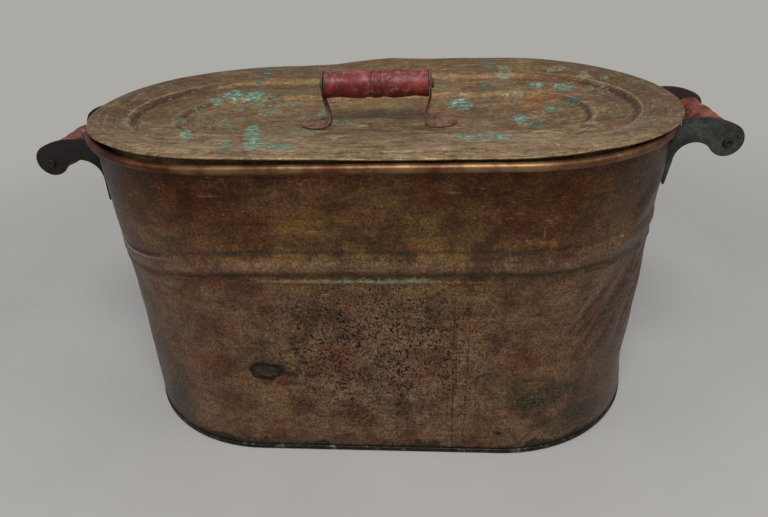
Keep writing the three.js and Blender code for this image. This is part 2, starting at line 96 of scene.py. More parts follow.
def make(name, points, faces, material, body, replaces=(), sharp=35):
    """A piece from points in millimetres. Edges sharper than the angle in degrees stay crisp."""
    mesh = bpy.data.meshes.new(name)
    mesh.from_pydata((np.asarray(points, float) * MM).tolist(), [], faces)
    mesh.validate()
    bm = bmesh.new()
    bm.from_mesh(mesh)
    bmesh.ops.remove_doubles(bm, verts=bm.verts, dist=1e-6)
    bmesh.ops.recalc_face_normals(bm, faces=bm.faces)
    bm.to_mesh(mesh)
    bm.free()
    return finish(name, mesh, material, body, replaces, sharp)


def placed(name, data):
    thing = bpy.data.objects.new(name, data)
    bpy.context.scene.collection.objects.link(thing)
    return thing


def finish(name, mesh, material, body, replaces=(), sharp=35):
    mesh.shade_smooth()
    mesh.set_sharp_from_angle(angle=math.radians(sharp))
    mesh.materials.append(material)
    piece = placed(name, mesh)
    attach(piece, body)
    if replaces:
        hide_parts(*replaces)
    return piece


def grid_faces(rows, columns, loop_columns, loop_rows=True):
    """Four-sided faces between neighbouring rows and columns of points."""
    faces = []
    for i in range(rows if loop_rows else rows - 1):
        for j in range(columns if loop_columns else columns - 1):
            a, b = i * columns + j, ((i + 1) % rows) * columns + j
            c, d = ((i + 1) % rows) * columns + (j + 1) % columns, i * columns + (j + 1) % columns
            faces.append((a, b, c, d))
    return faces


def capped_faces(rows, columns):
    """Faces of a closed section that is swept along a line, with both its ends."""
    last = (rows - 1) * columns
    ends = [tuple(range(columns)), tuple(range(last, last + columns))[::-1]]
    return grid_faces(rows, columns, True, False) + ends


def zones(*spans):
    """Numbers in order from spans of (start, end, how many)."""
    return np.unique(np.concatenate([np.linspace(*span) for span in spans]))


def round_the_oval(section, stations):
    """The same section, of (radius, height) pairs, at every station: its radii and its heights."""
    section = np.array(section)
    return tuple(np.repeat(section[None, :, i], stations, 0) for i in (0, 1))


def oval_columns(straight, angles):
    """Stations around the oval, from the front's left end: the centre's x, the angle and the way along."""
    front = np.asarray(straight, float)
    right = np.radians(np.asarray(angles, float))
    left = np.pi - right[::-1]
    flat, bend = np.ones(len(front) - 1), np.ones(len(right) - 1)
    x = np.concatenate([front[:-1], bend * HALF, front[::-1][:-1], bend * -HALF])
    turn = np.concatenate([flat * -np.pi / 2, right[:-1], flat * np.pi / 2, left[:-1]])
    return x, turn


def way_along(x, turn):
    """How far each station is from the front's middle, to the right, round the tank."""
    s = np.where(turn <= -np.pi / 2, x, 0)
    s = np.where((turn > -np.pi / 2) & (turn < np.pi / 2), HALF + END_ARC * (turn + np.pi / 2), s)
    s = np.where(np.isclose(turn, np.pi / 2), 2 * HALF + END_ARC * np.pi - x, s)
    s = np.where(turn > np.pi / 2 + 1e-9, 3 * HALF + END_ARC * (np.pi / 2 + turn), s)
    length = 4 * HALF + 2 * np.pi * END_ARC
    return np.where(s > length / 2, s - length, s)


def swept(x, turn, radius, height):
    """Points of a section, given at each station as radius and height."""
    px = x[:, None] + radius * np.cos(turn)[:, None]
    py = radius * np.sin(turn)[:, None]
    return np.stack([px, py, np.broadcast_to(height, radius.shape)], -1).reshape(-1, 3)


def wall_radius(z, s=0.0):
    """Radius of the wall's outside at a height and a way along.

    The beads run lower and flatter round the left end, and fold at the right end.
    """
    left = smooth((-s - 120) / 170) * smooth((s + 570) / 150)
    right = smooth((s - 170) / 90) * smooth((480 - s) / 120)
    b = LOW_EDGE + (z + 14 * left - LOW_EDGE) * (1 + 0.35 * left)
    r = FOOT + (MOUTH - FOOT) * np.clip((z - FLARE) / (RIM_Z - FLARE), 0, 1)
    rise = 3.6 - 2.0 * left - 3.0 * right
    # the band between the beads' edges, with the groove over it
    r = r + rise * smooth((241 - b) / 14) * smooth((b - LOW_EDGE) / 10) - 0.9 * np.exp(
        -(((b - 242) / 2.2) ** 2))
    # its crests at the bent ends
    crest = 1.5 * right * smooth((b - 228.4) / 1.6) * smooth((246 - b) / 15)
    r = r + 0.9 * left * np.exp(-(((b - 237) / 2.0) ** 2)) + crest
    # the lower bead, the swell over the groove and the foot
    lower_bead = 1.1 * np.exp(-(((b - 213) / 2.8) ** 2))
    return r + lower_bead + 0.6 * smooth((b - 240) / 8) - 0.5 * smooth((9.0 - z) / 3.5)


# Dents and creases: way along, height, half length, half width, tilt in degrees, depth out
DENTS = [
    (238, 160, 44, 5.5, 50, 3.2), (252, 152, 46, 7, 50, -4.4), (272, 164, 50, 6, 52, 3.4),
    (290, 150, 50, 8, 52, -3.8), (207, 148, 34, 6, 55, 2.2), (218, 140, 38, 6, 52, -2.6),
    (310, 160, 46, 8, 56, 2.4), (262, 190, 26, 5, 60, 2.2), (236, 254, 30, 10, 42, -3.4),
    (262, 262, 34, 12, 36, 2.0), (300, 280, 46, 18, 0, 1.2), (322, 58, 56, 32, 0, -4.2),
    (262, 40, 52, 22, 20, 1.4), (170, 70, 60, 26, 14, -1.2), (-214, 172, 40, 8, -48, 1.1),
    (-232, 160, 44, 9, -48, -1.3), (-300, 120, 70, 60, 0, -1.5), (-107, 106, 22, 14, 0, -0.9),
    (-47, 258, 14, 9, 0, -0.5), (150, 250, 26, 12, 0, -0.8), (20, 120, 90, 60, 0, 0.9),
    (560, 120, 60, 40, 30, -3.0), (620, 210, 50, 18, -40, -2.0), (-560, 90, 70, 40, 10, -2.6),
    (-640, 190, 60, 22, 35, -1.8)]


def dents(s, z):
    """How far the worn wall stands out from its true shape. It is calm at the foot and under the rim."""
    total = 0.55 * waves(s, z, 150, 4) + 0.22 * waves(s, z, 55, 9)
    for at, height, long, wide, tilt, out in DENTS:
        c, d = math.cos(math.radians(tilt)), math.sin(math.radians(tilt))
        u, v = (s - at) * c + (z - height) * d, (z - height) * c - (s - at) * d
        total = total + out * np.exp(-((u / long) ** 2 + (v / wide) ** 2))
    return total * smooth((z - 6) / 14) * smooth((319 - z) / 16)


def seam_rise(x, turn, z):
    """The flattened side seam stands out a little at the front."""
    inside = smooth((SEAM_WIDTH / 2 + 0.6 - np.abs(x - SEAM_X)) / 0.6) * (turn <= -np.pi / 2 + 1e-6)
    return 0.5 * inside * smooth((z - 11) / 3) * smooth((312 - z) / 3)


def build_wall(material):
    """The body sheet: up the outside, round the curl's inner and outer faces, and down the inside."""
    seam = [SEAM_X - 7.2, SEAM_X - 6.4, SEAM_X + 6.4, SEAM_X + 7.2]
    straight = np.unique(np.concatenate([np.linspace(-HALF, HALF, 45), seam]))
    angles = np.concatenate([np.linspace(-90, -6, 62)[:-1], np.linspace(-6, 90, 46)])
    x, turn = oval_columns(straight, angles)
    s = way_along(x, turn)
    outer = zones(
        (1.3, FOOT_ZONE, 12), (FOOT_ZONE, BEADS_FROM, 41), (BEADS_FROM, BEADS_TO, 45),
        (BEADS_TO, WALL_TOP, 22))
    inner = zones((1.3, BEADS_FROM, 17), (BEADS_FROM, BEADS_TO, 22), (BEADS_TO, WALL_TOP, 9))[::-1]
    S, Z = np.meshgrid(s, outer, indexing="ij")
    outside = wall_radius(Z, S) + dents(S, Z) + seam_rise(x[:, None], turn[:, None], Z)
    S, ZI = np.meshgrid(s, inner, indexing="ij")
    inside = wall_radius(ZI, S) - SHEET + dents(S, ZI) - seam_rise(x[:, None], turn[:, None], ZI)
    sway = 0.35 * waves(s, 0 * s, 190, 2)[:, None]
    ones = np.ones((len(s), 1))

    def curl(start, end, steps, reach):
        bend = np.radians(np.linspace(start, end, steps))
        out = RIM_R + ones * reach * np.cos(bend) + 0.4 * sway
        return out, RIM_Z + ones * reach * np.sin(bend) + sway * 0.5

    curl_in, curl_out = curl(176, -120, 14, RIM - SHEET), curl(-120, 176, 22, RIM)
    radius = np.hstack([outside, curl_in[0], curl_out[0], inside])
    height = np.hstack([Z, curl_in[1], curl_out[1], ZI])
    points = swept(x, turn, radius, height)
    faces = grid_faces(len(s), radius.shape[1], True)
    return make("tank_wall_skin", points, faces, material, "tank", ["tank_wall"], 50)


def build_bottom(material):
    """The bottom, with its uneven edge folded over the wall's foot."""
    x, turn = oval_columns(np.linspace(-HALF, HALF, 26), np.linspace(-90, 90, 61))
    s = way_along(x, turn)
    outline = [
        (0, 0), (60, 0), (120, 0), (155.9, 0), (156.8, 0.4), (157.35, 1.3), (157.4, 4.3), (157.1, 5.0),
        (156.4, 5.5), (155.5, 5.5), (154.8, 5.1), (154.5, 4.4), (154.5, 1.2), (153.2, 0.8), (120, 0.8),
        (60, 0.8), (0, 0.8)]
    radius, height = round_the_oval(outline, len(s))
    rough = 0.35 * waves(s, 0 * s, 24, 6) + 0.25 * waves(s, 0 * s, 9, 8)
    fold = (height > 0.9) & (radius > 154)
    radius = radius + fold * np.minimum(rough[:, None], 0.2) * (height / 5.5)
    height = height + fold * rough[:, None] * (height > 3)
    points = swept(x, turn, radius, height)
    faces = grid_faces(len(s), len(outline), False)
    return make("tank_bottom_plate", points, faces, material, "tank", ["tank_bottom"], 40)


# Lift of the bent lid's edge over its flat place: x, lift. The back edge has a kink near its middle
BACK_LIFT = [
    (-292, 1.6), (-235, 0.6), (-110, -0.2), (-65, 1.2), (-40, 3.6), (-15, 5.8), (6, 7.4), (30, 6.2),
    (60, 5.3), (92, 5.6), (155, 4.8), (210, 3.9), (249, 3.0), (298, 0.8)]
FRONT_LIFT = [
    (-292, 1.8), (-258, 3.2), (-231, 4.6), (-149, 4.4), (-109, 4.0), (-40, 2.6), (17, 1.7), (100, 1.5),
    (140, 2.3), (190, 3.7), (223, 3.2), (260, 2.2), (298, 0.8)]
# Section of the lid from its middle line out: distance, height over the rim's seat
LID_SECTION = [
    (0, -18.7), (22, -18.7), (45, -16.4), (62, -13.8), (66.5, -12.9), (71.5, -8.8), (75, -8.3), (92, -7.9),
    (111, -7.3), (113.8, -6.6), (118.6, -2.6), (122, -1.9), (149, 1.9), (180, 1.9)]


def lid_lift(x, y, r):
    """How far the bent lid stands over its flat place."""
    back = np.interp(x, *zip(*BACK_LIFT))
    front = np.interp(x, *zip(*FRONT_LIFT))
    share = smooth((y + 150) / 300)
    return (front * (1 - share) + back * share) * smooth((r - 70) / 90)


def lid_top(r):
    """Height of the lid's section, with its corners rounded."""
    near = [np.interp(np.abs(r + d), *zip(*LID_SECTION)) for d in (-1.6, -0.8, 0, 0.8, 1.6)]
    return near[0] * 0.1 + near[1] * 0.2 + near[2] * 0.4 + near[3] * 0.2 + near[4] * 0.1


def ring_stretch(r):
    """How much longer than the lid's edge the stamped rings are, at each end."""
    return np.interp(r, [70, 118, 165], [17, 13, 0])


def build_lid(material):
    """The lid's sheet: out over the top, round the folded edge, and back underneath."""
    x, turn = oval_columns(np.linspace(-HALF, HALF, 43), np.linspace(-90, 90, 81))
    top = zones((0, 62, 9), (62, 76, 12), (76, 110, 9), (110, 123, 12), (123, 168.6, 12))
    under = zones((0, 62, 5), (62, 76, 7), (76, 110, 4), (110, 123, 7), (123, 165.5, 5))[::-1]
    edge_turn = np.radians(np.linspace(75, -75, 6))
    edge_r = LID_EDGE - 0.95 + 0.95 * np.cos(edge_turn)
    edge_z = 0.95 + 0.95 * np.sin(edge_turn)
    radius = np.concatenate([top, edge_r, [165.8, 165.6], under])
    height = np.concatenate([lid_top(top), edge_z, [0, 1.0], lid_top(under) - SHEET])
    R = np.repeat(radius[None], len(x), 0)
    H = np.repeat(height[None], len(x), 0)
    points = swept(x, turn, R, H)
    r = R.reshape(-1)
    points[:, 0] += np.repeat(x, len(radius)) / HALF * ring_stretch(r)
    px, py = points[:, 0], points[:, 1]
    calm = smooth((r - 30) / 40)
    points[:, 2] += LID_Z + 0.5 * smooth((r - 70) / 60)
    points[:, 2] += lid_lift(px + LID_X, py + LID_Y, r) + calm * (
        0.35 * waves(px, py, 130, 5) + 0.16 * waves(px, py, 48, 3))
    points[:, 0] += LID_X
    points[:, 1] += LID_Y
    faces = grid_faces(len(x), len(radius), False)
    return make("lid_sheet", points, faces, material, "lid", ["lid_pan"], 45)


def build_collar(material):
    """The band under the lid, with its turned-in lip."""
    x, turn = oval_columns(np.linspace(-HALF, HALF, 20), np.linspace(-90, 90, 61))
    outline = [
        (148.1, 0.0), (148.1, 0.8), (154.0, 0.8), (154.3, 0.4), (154.3, -22), (153.5, -22), (153.5, 0.0)]
    radius, height = round_the_oval(outline, len(x))
    points = swept(x, turn, radius, height + LID_Z) + np.array([LID_X, LID_Y, 0])
    faces = grid_faces(len(x), len(outline), True)
    return make("lid_collar_band", points, faces, material, "lid", ["lid_collar"], 40)


def lathe(outline, steps):
    """A turned shape about Z from (radius, height) pairs. They start and end on the axis, or meet."""
    turn = np.linspace(0, math.tau, steps, endpoint=False)
    profile = np.array(outline, float)
    points = np.stack([
        np.cos(turn)[:, None] * profile[:, 0], np.sin(turn)[:, None] * profile[:, 0],
        np.repeat(profile[None, :, 1], steps, 0),
    ], -1).reshape(-1, 3)
    return points, grid_faces(steps, len(outline), False)


def laid(points, axis, place):
    """Turns points from Z to the axis given and moves them to their place."""
    turn = Vector((0, 0, 1)).rotation_difference(Vector(axis)).to_matrix()
    return points @ np.array(turn).T + np.array(place)


def grip_outline():
    """Half section of a turned grip with its bore: (radius, height) pairs."""
    half = GRIP / 2
    knots = [
        (0, 13.8), (1.3, 13.75), (1.9, 13.3), (2.5, 13.7), (4.2, 13.6), (5.0, 12.9), (7.5, 12.5),
        (10.5, 12.9), (14, 13.7), (18, 14.0), (23, 13.8), (29, 13.1), (36, 12.3), (42, 12.3), (47, 12.8),
        (50.5, 13.4), (52.2, 13.5)]
    z = np.concatenate([np.linspace(0, 8, 22), np.linspace(8.5, 52.2, 40)])
    r = np.interp(z, *zip(*knots))
    r = np.convolve(np.concatenate([r[:1], r, r[-1:]]), [0.25, 0.5, 0.25], "valid")
    upper = [(a, b) for a, b in zip(r, z)] + [(12.9, half - 0.15), (12.2, half), (3.3, half)]
    lower = [(a, -b) for a, b in upper[1:]]
    return [(3.3, -half)] + lower[::-1][1:] + upper + [(3.3, -half)]


def build_grip(name, node, body, axis, place, material):
    points, faces = lathe(grip_outline(), 48)
    return make(name, laid(points, axis, place), faces, material, body, [node], 50)


def build_rod(name, node, body, axis, place, plate_thick, material):
    """A rod with peened ends that lie on the plates it goes through."""
    seat = WEB + plate_thick + FIT
    half = [
        (0, seat + 1.2), (1.6, seat + 1.2), (2.6, seat + 1.9), (3.4, seat + 2.2), (4.3, seat + 1.9),
        (4.9, seat + 1.1), (5.0, seat), (3.0, seat)]
    outline = half + [(r, -z) for r, z in half[::-1]]
    points, faces = lathe(outline, 24)
    points[:, :2] *= np.array([1.0, 0.9])
    return make(name, laid(points, axis, place), faces, material, body, [node], 40)


def build_rivet(node, body, axis, material):
    """A rivet with its two heads, in the middle of its solid."""
    low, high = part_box(node)
    middle = (low + high) / 2 / MM
    outline = [
        (0, -3.1), (2.6, -2.9), (3.4, -2.3), (3.4, -1.9), (2, -1.9), (2, 1.1), (4.4, 1.1), (4.3, 1.6),
        (3.6, 2.4), (2.3, 3.0), (0, 3.2)]
    points, faces = lathe(outline, 20)
    return make(node + "_head", laid(points, axis, middle), faces, material, body, [node], 40)


def arc(cx, cz, radius, start, end, steps):
    turn = np.linspace(start, end, steps + 1)
    return [(cx + radius * math.cos(t), cz + radius * math.sin(t)) for t in turn]


def web_line(rod_z, inset):
    """Outline of a bracket's web in X and Z, for the right-hand end."""
    lobe, lx, lz = 15.8, ROD_X - 1, rod_z + 2.5
    nx, nz = ROD_X - inset, rod_z - 17.5
    notch = math.hypot(lx - nx, lz - nz) - lobe
    notch_turn = math.atan2(lz - nz, lx - nx)
    top, bend_x = rod_z + ARM_RISE, ROD_X - ARM_BEND
    along, below = lx - bend_x, top - lz
    bend = (along ** 2 + below ** 2 - lobe ** 2) / (2 * (below - lobe))
    bend_turn = math.atan2(lz - (top - bend), along)
    tip, under_curl = 1.2, 318.0

    def edge(z):
        return HALF + math.sqrt((float(wall_radius(min(z, under_curl))) + FIT + 1) ** 2 - WEB ** 2)

    tip_z = rod_z - LEG_DROP + tip
    tip_x = edge(tip_z) + tip
    shoulder = min(top, WEB_SEAT)
    line = [(tip_x - tip, tip_z), (edge(tip_z + 18), tip_z + 18), (edge(shoulder), shoulder)]
    if top > WEB_SEAT:
        out = HALF + math.sqrt((RIM_R + RIM + FIT) ** 2 - WEB ** 2)
        line += [(out, WEB_SEAT), (out, top)]
    line += arc(bend_x, top - bend, bend, math.pi / 2, bend_turn, 10)
    line += arc(lx, lz, lobe, bend_turn, notch_turn - math.pi, 26)[1:]
    line += arc(nx, nz, notch, notch_turn, math.pi, 18)[1:]
    line += arc(tip_x, tip_z, tip, 0, -math.pi, 6)[:-1]
    return line


def plate(line, thickness, bevel):
    """A flat plate in X and Z with its thickness in Y and rounded edges."""
    bm = bmesh.new()
    corners = [bm.verts.new((x * MM, 0, z * MM)) for x, z in line]
    face = bm.faces.new(corners)
    sides = bmesh.ops.extrude_face_region(bm, geom=[face])
    moved = [v for v in sides["geom"] if isinstance(v, bmesh.types.BMVert)]
    bmesh.ops.translate(bm, verts=moved, vec=(0, thickness * MM, 0))
    bmesh.ops.recalc_face_normals(bm, faces=bm.faces)
    rims = [e for e in bm.edges if len(e.link_faces) == 2 and any(len(f.verts) > 8 for f in e.link_faces)]
    bmesh.ops.bevel(bm, geom=rims, offset=bevel * MM, segments=2, affect="EDGES", profile=0.6)
    return bm


def settled(bm, name):
    """A mesh with its faces sorted, because extruding leaves them in an order that varies."""
    bm.verts.index_update()
    corners = [[v.index for v in face.verts] for face in bm.faces]
    starts = [c.index(min(c)) for c in corners]
    mesh = bpy.data.meshes.new(name)
    mesh.from_pydata([v.co[:] for v in bm.verts], [], sorted(c[i:] + c[:i] for c, i in zip(corners, starts)))
    bm.free()
    return mesh


def flange_points(rod_z, top):
    """The bracket's foot, which follows the wall, as points and faces."""
    margin, thick = 3, 2.5
    low = rod_z - LEG_DROP + margin
    high = min(WEB_SEAT, top) - margin
    y = np.linspace(WEB + WEB_THICK - FIT, WEB - 22, 9)
    z = np.linspace(low, high, 7)
    rows = []
    for a in y:
        outer = [(math.sqrt((float(wall_radius(b)) + FIT + thick) ** 2 - a * a), b) for b in z]
        inner = [(math.sqrt((float(wall_radius(b)) + FIT) ** 2 - a * a), b) for b in z[::-1]]
        rows.append([(HALF + r, a, b) for r, b in outer + inner])
    return np.array(rows).reshape(-1, 3), capped_faces(len(y), 2 * len(z))


def build_bracket(side, face, material):
    """One bracket, built for the back right corner and mirrored. The left back one is bent up."""
    flip_x, flip_y = (-1 if side == "left" else 1), (-1 if face == "front" else 1)
    rod_z = ROD_Z[side]
    bm = plate(web_line(rod_z, 31.0 if side == "left" else 28.6), WEB_THICK, 0.7)
    bmesh.ops.translate(bm, verts=bm.verts, vec=(0, WEB * MM, 0))
    if (side, face) == ("left", "back"):
        for v in bm.verts:
            v.co.z += 4.5 * MM * float(
                smooth((v.co.z / MM - rod_z - 6) / 14) * smooth((v.co.x / MM - 285) / 30))
    points, faces = flange_points(rod_z, rod_z + ARM_RISE)
    made = [bm.verts.new(Vector(p) * MM) for p in points]
    for corner in faces:
        bm.faces.new([made[i] for i in corner])
    bmesh.ops.scale(bm, verts=bm.verts, vec=(flip_x, flip_y, 1))
    bmesh.ops.recalc_face_normals(bm, faces=bm.faces)
    name = f"{side}_{face}_bracket"
    return finish(name + "_iron", settled(bm, name + "_iron"), material, "tank", [name], 40)


def strap_stations():
    """Middle line of the right-hand strap in X and Z, with its half width."""
    upright, foot_z, neck = WEB + 1, LID_Z + 1.9 - 2 * STEP + FIT + 1, STRAP_NECK
    bend_x = upright - STRAP_WAIST
    disc_x, disc_r, bend = bend_x + STRAP_REACH, 20.0, 4.5
    foot_turn = math.acos((STRAP_REACH - bend) / disc_r)
    foot_wide = disc_r * math.sin(foot_turn)
    end = math.pi - math.asin(neck / GRIP_R)
    stations = []
    for t in np.linspace(0.12, end, 16):
        stations.append((upright, LID_ROD_Z + GRIP_R * math.cos(t), GRIP_R * math.sin(t)))
    start = stations[-1]
    for t in np.linspace(0, 1, 9)[1:-1]:
        lean = float(smooth(t))
        waist = neck - 0.7 * math.sin(math.pi * t)
        stations.append((upright - STRAP_WAIST * lean, start[1] + (foot_z + bend - start[1]) * t, waist))
    for i, (x, z) in enumerate(arc(bend_x + bend, foot_z + bend, bend, math.pi, 1.5 * math.pi, 7)):
        stations.append((x, z, neck + (foot_wide - neck) * (i / 7) ** 2))
    for t in np.linspace(foot_turn, math.pi - 0.1, 20)[1:]:
        stations.append((disc_x - disc_r * math.cos(t), foot_z, disc_r * math.sin(t)))
    return np.array(stations)


def build_strap(side, material):
    """A strap of the lid's handle: its section swept along the middle line."""
    flip = -1 if side == "left" else 1
    stations = strap_stations()
    line = stations[:, :2]
    way = np.gradient(line, axis=0)
    way /= np.linalg.norm(way, axis=1)[:, None]
    normal = np.stack([-way[:, 1], way[:, 0]], 1)
    across = np.array([
        (-1, -0.35), (-0.97, -0.85), (-0.9, -1), (0, -1), (0.9, -1), (0.97, -0.85), (1, -0.35), (1, 0.35),
        (0.97, 0.85), (0.9, 1), (0, 1), (-0.9, 1), (-0.97, 0.85), (-1, 0.35)])
    points = []
    for (x, z, half), n in zip(stations, normal):
        for u, v in across:
            points.append((flip * (x + n[0] * v), u * half, z + n[1] * v))
    name, faces = f"lid_strap_{side}", capped_faces(len(stations), len(across))
    return make(name + "_iron", points, faces, material, "lid", [name], 40)


# ------------------------------------------------------------------ materials

class Paint:
    """One material made of nodes. Its sizes are in millimetres of the object's own frame."""

    def __init__(self, name, metallic=0.0, gloss=0.5):
        self.material = bpy.data.materials.new(name)
        self.material.use_nodes = True
        self.tree = self.material.node_tree
        self.tree.nodes.clear()
        self.shader = self.new("ShaderNodeBsdfPrincipled")
        self.shader.inputs["Metallic"].default_value = metallic
        self.shader.inputs["Specular IOR Level"].default_value = gloss
        end = self.new("ShaderNodeOutputMaterial")
        self.tree.links.new(self.shader.outputs[0], end.inputs[0])
        self.mm = self.vector(
            "MULTIPLY", self.new("ShaderNodeTexCoord").outputs["Object"], (1000, 1000, 1000))
        self.x, self.y, self.z = self.new("ShaderNodeSeparateXYZ", self.mm).outputs

    def new(self, kind, *values, **settings):
        """A node with its settings, and its first inputs fed with the values."""
        node = self.tree.nodes.new(kind)
        for key, value in settings.items():
            setattr(node, key, value)
        for socket, value in zip(node.inputs, values):
            self.feed(socket, value)
        return node

    def feed(self, socket, value):
        if isinstance(value, bpy.types.NodeSocket):
            self.tree.links.new(value, socket)
        elif isinstance(value, tuple) and socket.type == "RGBA" and len(value) == 3:
            socket.default_value = (*srgb(*value), 1)
        else:
            socket.default_value = value

    def math(self, kind, a, b=0.0, c=0.0, clamp=False):
        return self.new("ShaderNodeMath", a, b, c, operation=kind, use_clamp=clamp).outputs[0]

    def vector(self, kind, a, b=(0, 0, 0)):
        node = self.new("ShaderNodeVectorMath", a, b, operation=kind)
        return node.outputs["Value" if kind == "LENGTH" else "Vector"]

    def joined(self, x, y, z):
        return self.new("ShaderNodeCombineXYZ", x, y, z).outputs[0]

    def stretched(self, stretch, shift, place=None):
        place = self.vector("MULTIPLY", self.mm if place is None else place, stretch)
        return self.vector("ADD", place, (shift * 13.7, shift * 7.1, shift * 3.3))

    def noise(self, size, detail=3.0, rough=0.5, shift=1, stretch=(1, 1, 1), place=None):
        node = self.new("ShaderNodeTexNoise")
        self.feed(node.inputs["Vector"], self.stretched(stretch, shift, place))
        for key, value in (("Scale", 1 / size), ("Detail", detail), ("Roughness", rough)):
            node.inputs[key].default_value = value
        return node.outputs[0]

    def cells(self, size, stretch=(1, 1, 1), shift=1):
        node = self.new("ShaderNodeTexVoronoi")
        self.feed(node.inputs["Vector"], self.stretched(stretch, shift))
        node.inputs["Scale"].default_value = 1 / size
        return node.outputs["Distance"]

    def step(self, value, low, high, least=0.0, most=1.0):
        node = self.new("ShaderNodeMapRange", interpolation_type="SMOOTHSTEP")
        for key, number in (("From Min", low), ("From Max", high), ("To Min", least), ("To Max", most)):
            self.feed(node.inputs[key], number)
        self.feed(node.inputs["Value"], value)
        return node.outputs[0]

    def ramp(self, value, stops):
        node = self.new("ShaderNodeValToRGB")
        while len(node.color_ramp.elements) < len(stops):
            node.color_ramp.elements.new(0.5)
        for element, (place, colour) in zip(node.color_ramp.elements, stops):
            element.position = place
            element.color = (*srgb(*colour), 1)
        self.feed(node.inputs[0], value)
        return node.outputs[0]

    def mix(self, share, a, b, blend="MIX"):
        node = self.new("ShaderNodeMix", data_type="RGBA", blend_type=blend)
        self.feed(node.inputs[0], share)
        self.feed(node.inputs[6], a)
        self.feed(node.inputs[7], b)
        return node.outputs[2]

    def times(self, *values):
        product = values[0]
        for value in values[1:]:
            product = self.math("MULTIPLY", product, value)
        return product

    def plus(self, a, b):
        return self.math("ADD", a, b)

    def minus(self, a, b):
        return self.math("SUBTRACT", a, b)

    def scaled(self, value, factor, offset):
        return self.math("MULTIPLY_ADD", value, factor, offset)

    def unsigned(self, value):
        return self.math("ABSOLUTE", value)

    def apart(self, a, b):
        return self.unsigned(self.minus(a, b))

    def near(self, value, place, far, close):
        """1 where a value is nearer to its place than close, and 0 where it is past far."""
        return self.step(self.apart(value, place), far, close)

    def coat(self, mask, tone, amount=None):
        """Lays a tone over the colour so far, where the mask is, at full strength or by the amount."""
        share = mask if amount is None else self.times(mask, amount)
        self.colour = self.mix(share, self.colour, tone)

    def shade(self, mask, tone):
        """Darkens the colour so far by a tone, where the mask is."""
        self.colour = self.mix(mask, self.colour, tone, "MULTIPLY")

    def blob(self, centre, radii, fray=None, frayed=0.5, soft=0.45):
        """1 inside an ellipsoid and 0 outside, with an edge that the fray noise breaks up."""
        away = self.vector("MULTIPLY", self.vector("SUBTRACT", self.mm, centre), tuple(1 / r for r in radii))
        reach = self.vector("LENGTH", away)
        if fray is not None:
            reach = self.math("MULTIPLY_ADD", self.math("SUBTRACT", fray, 0.5), frayed * 2, reach)
        return self.step(reach, 1, 1 - soft)

    def blobs(self, fray, *spots):
        """The most of several blobs, each with its centre, its radii and its own fraying and softness."""
        return self.most([self.blob(centre, radii, fray, *edge) for centre, radii, *edge in spots])

    def most(self, masks):
        total = masks[0]
        for mask in masks[1:]:
            total = self.math("MAXIMUM", total, mask)
        return total

    def bump(self, *layers):
        """Layers of (height, distance in millimetres, strength)."""
        normal = None
        for height, distance, strength in layers:
            node = self.new("ShaderNodeBump")
            node.inputs["Distance"].default_value = distance * MM
            node.inputs["Strength"].default_value = strength
            self.feed(node.inputs["Height"], height)
            if normal is not None:
                self.feed(node.inputs["Normal"], normal)
            normal = node.outputs[0]
        self.feed(self.shader.inputs["Normal"], normal)

    def done(self, roughness):
        self.feed(self.shader.inputs["Base Color"], self.colour)
        self.feed(self.shader.inputs["Roughness"], roughness)
        return self.material


def srgb(r, g, b):
    """A colour that is written as the eye sees it, 0 to 255."""
    return tuple(((c / 255 + 0.055) / 1.055) ** 2.4 if c > 10 else c / 255 / 12.92 for c in (r, g, b))


# A half size past the whole object, for a mark that one direction doesn't bound
ANY = 1e4
BACKDROP = srgb(172, 170, 165)
# The leaning folds' middle, along the wall and up, and the ring stain's centre with its half sizes
FOLDS_AT, FOLDS_Z = 250, 165
RING_PLACE, RING_SIZE = (-109, -157, 106), (18.5, 11)


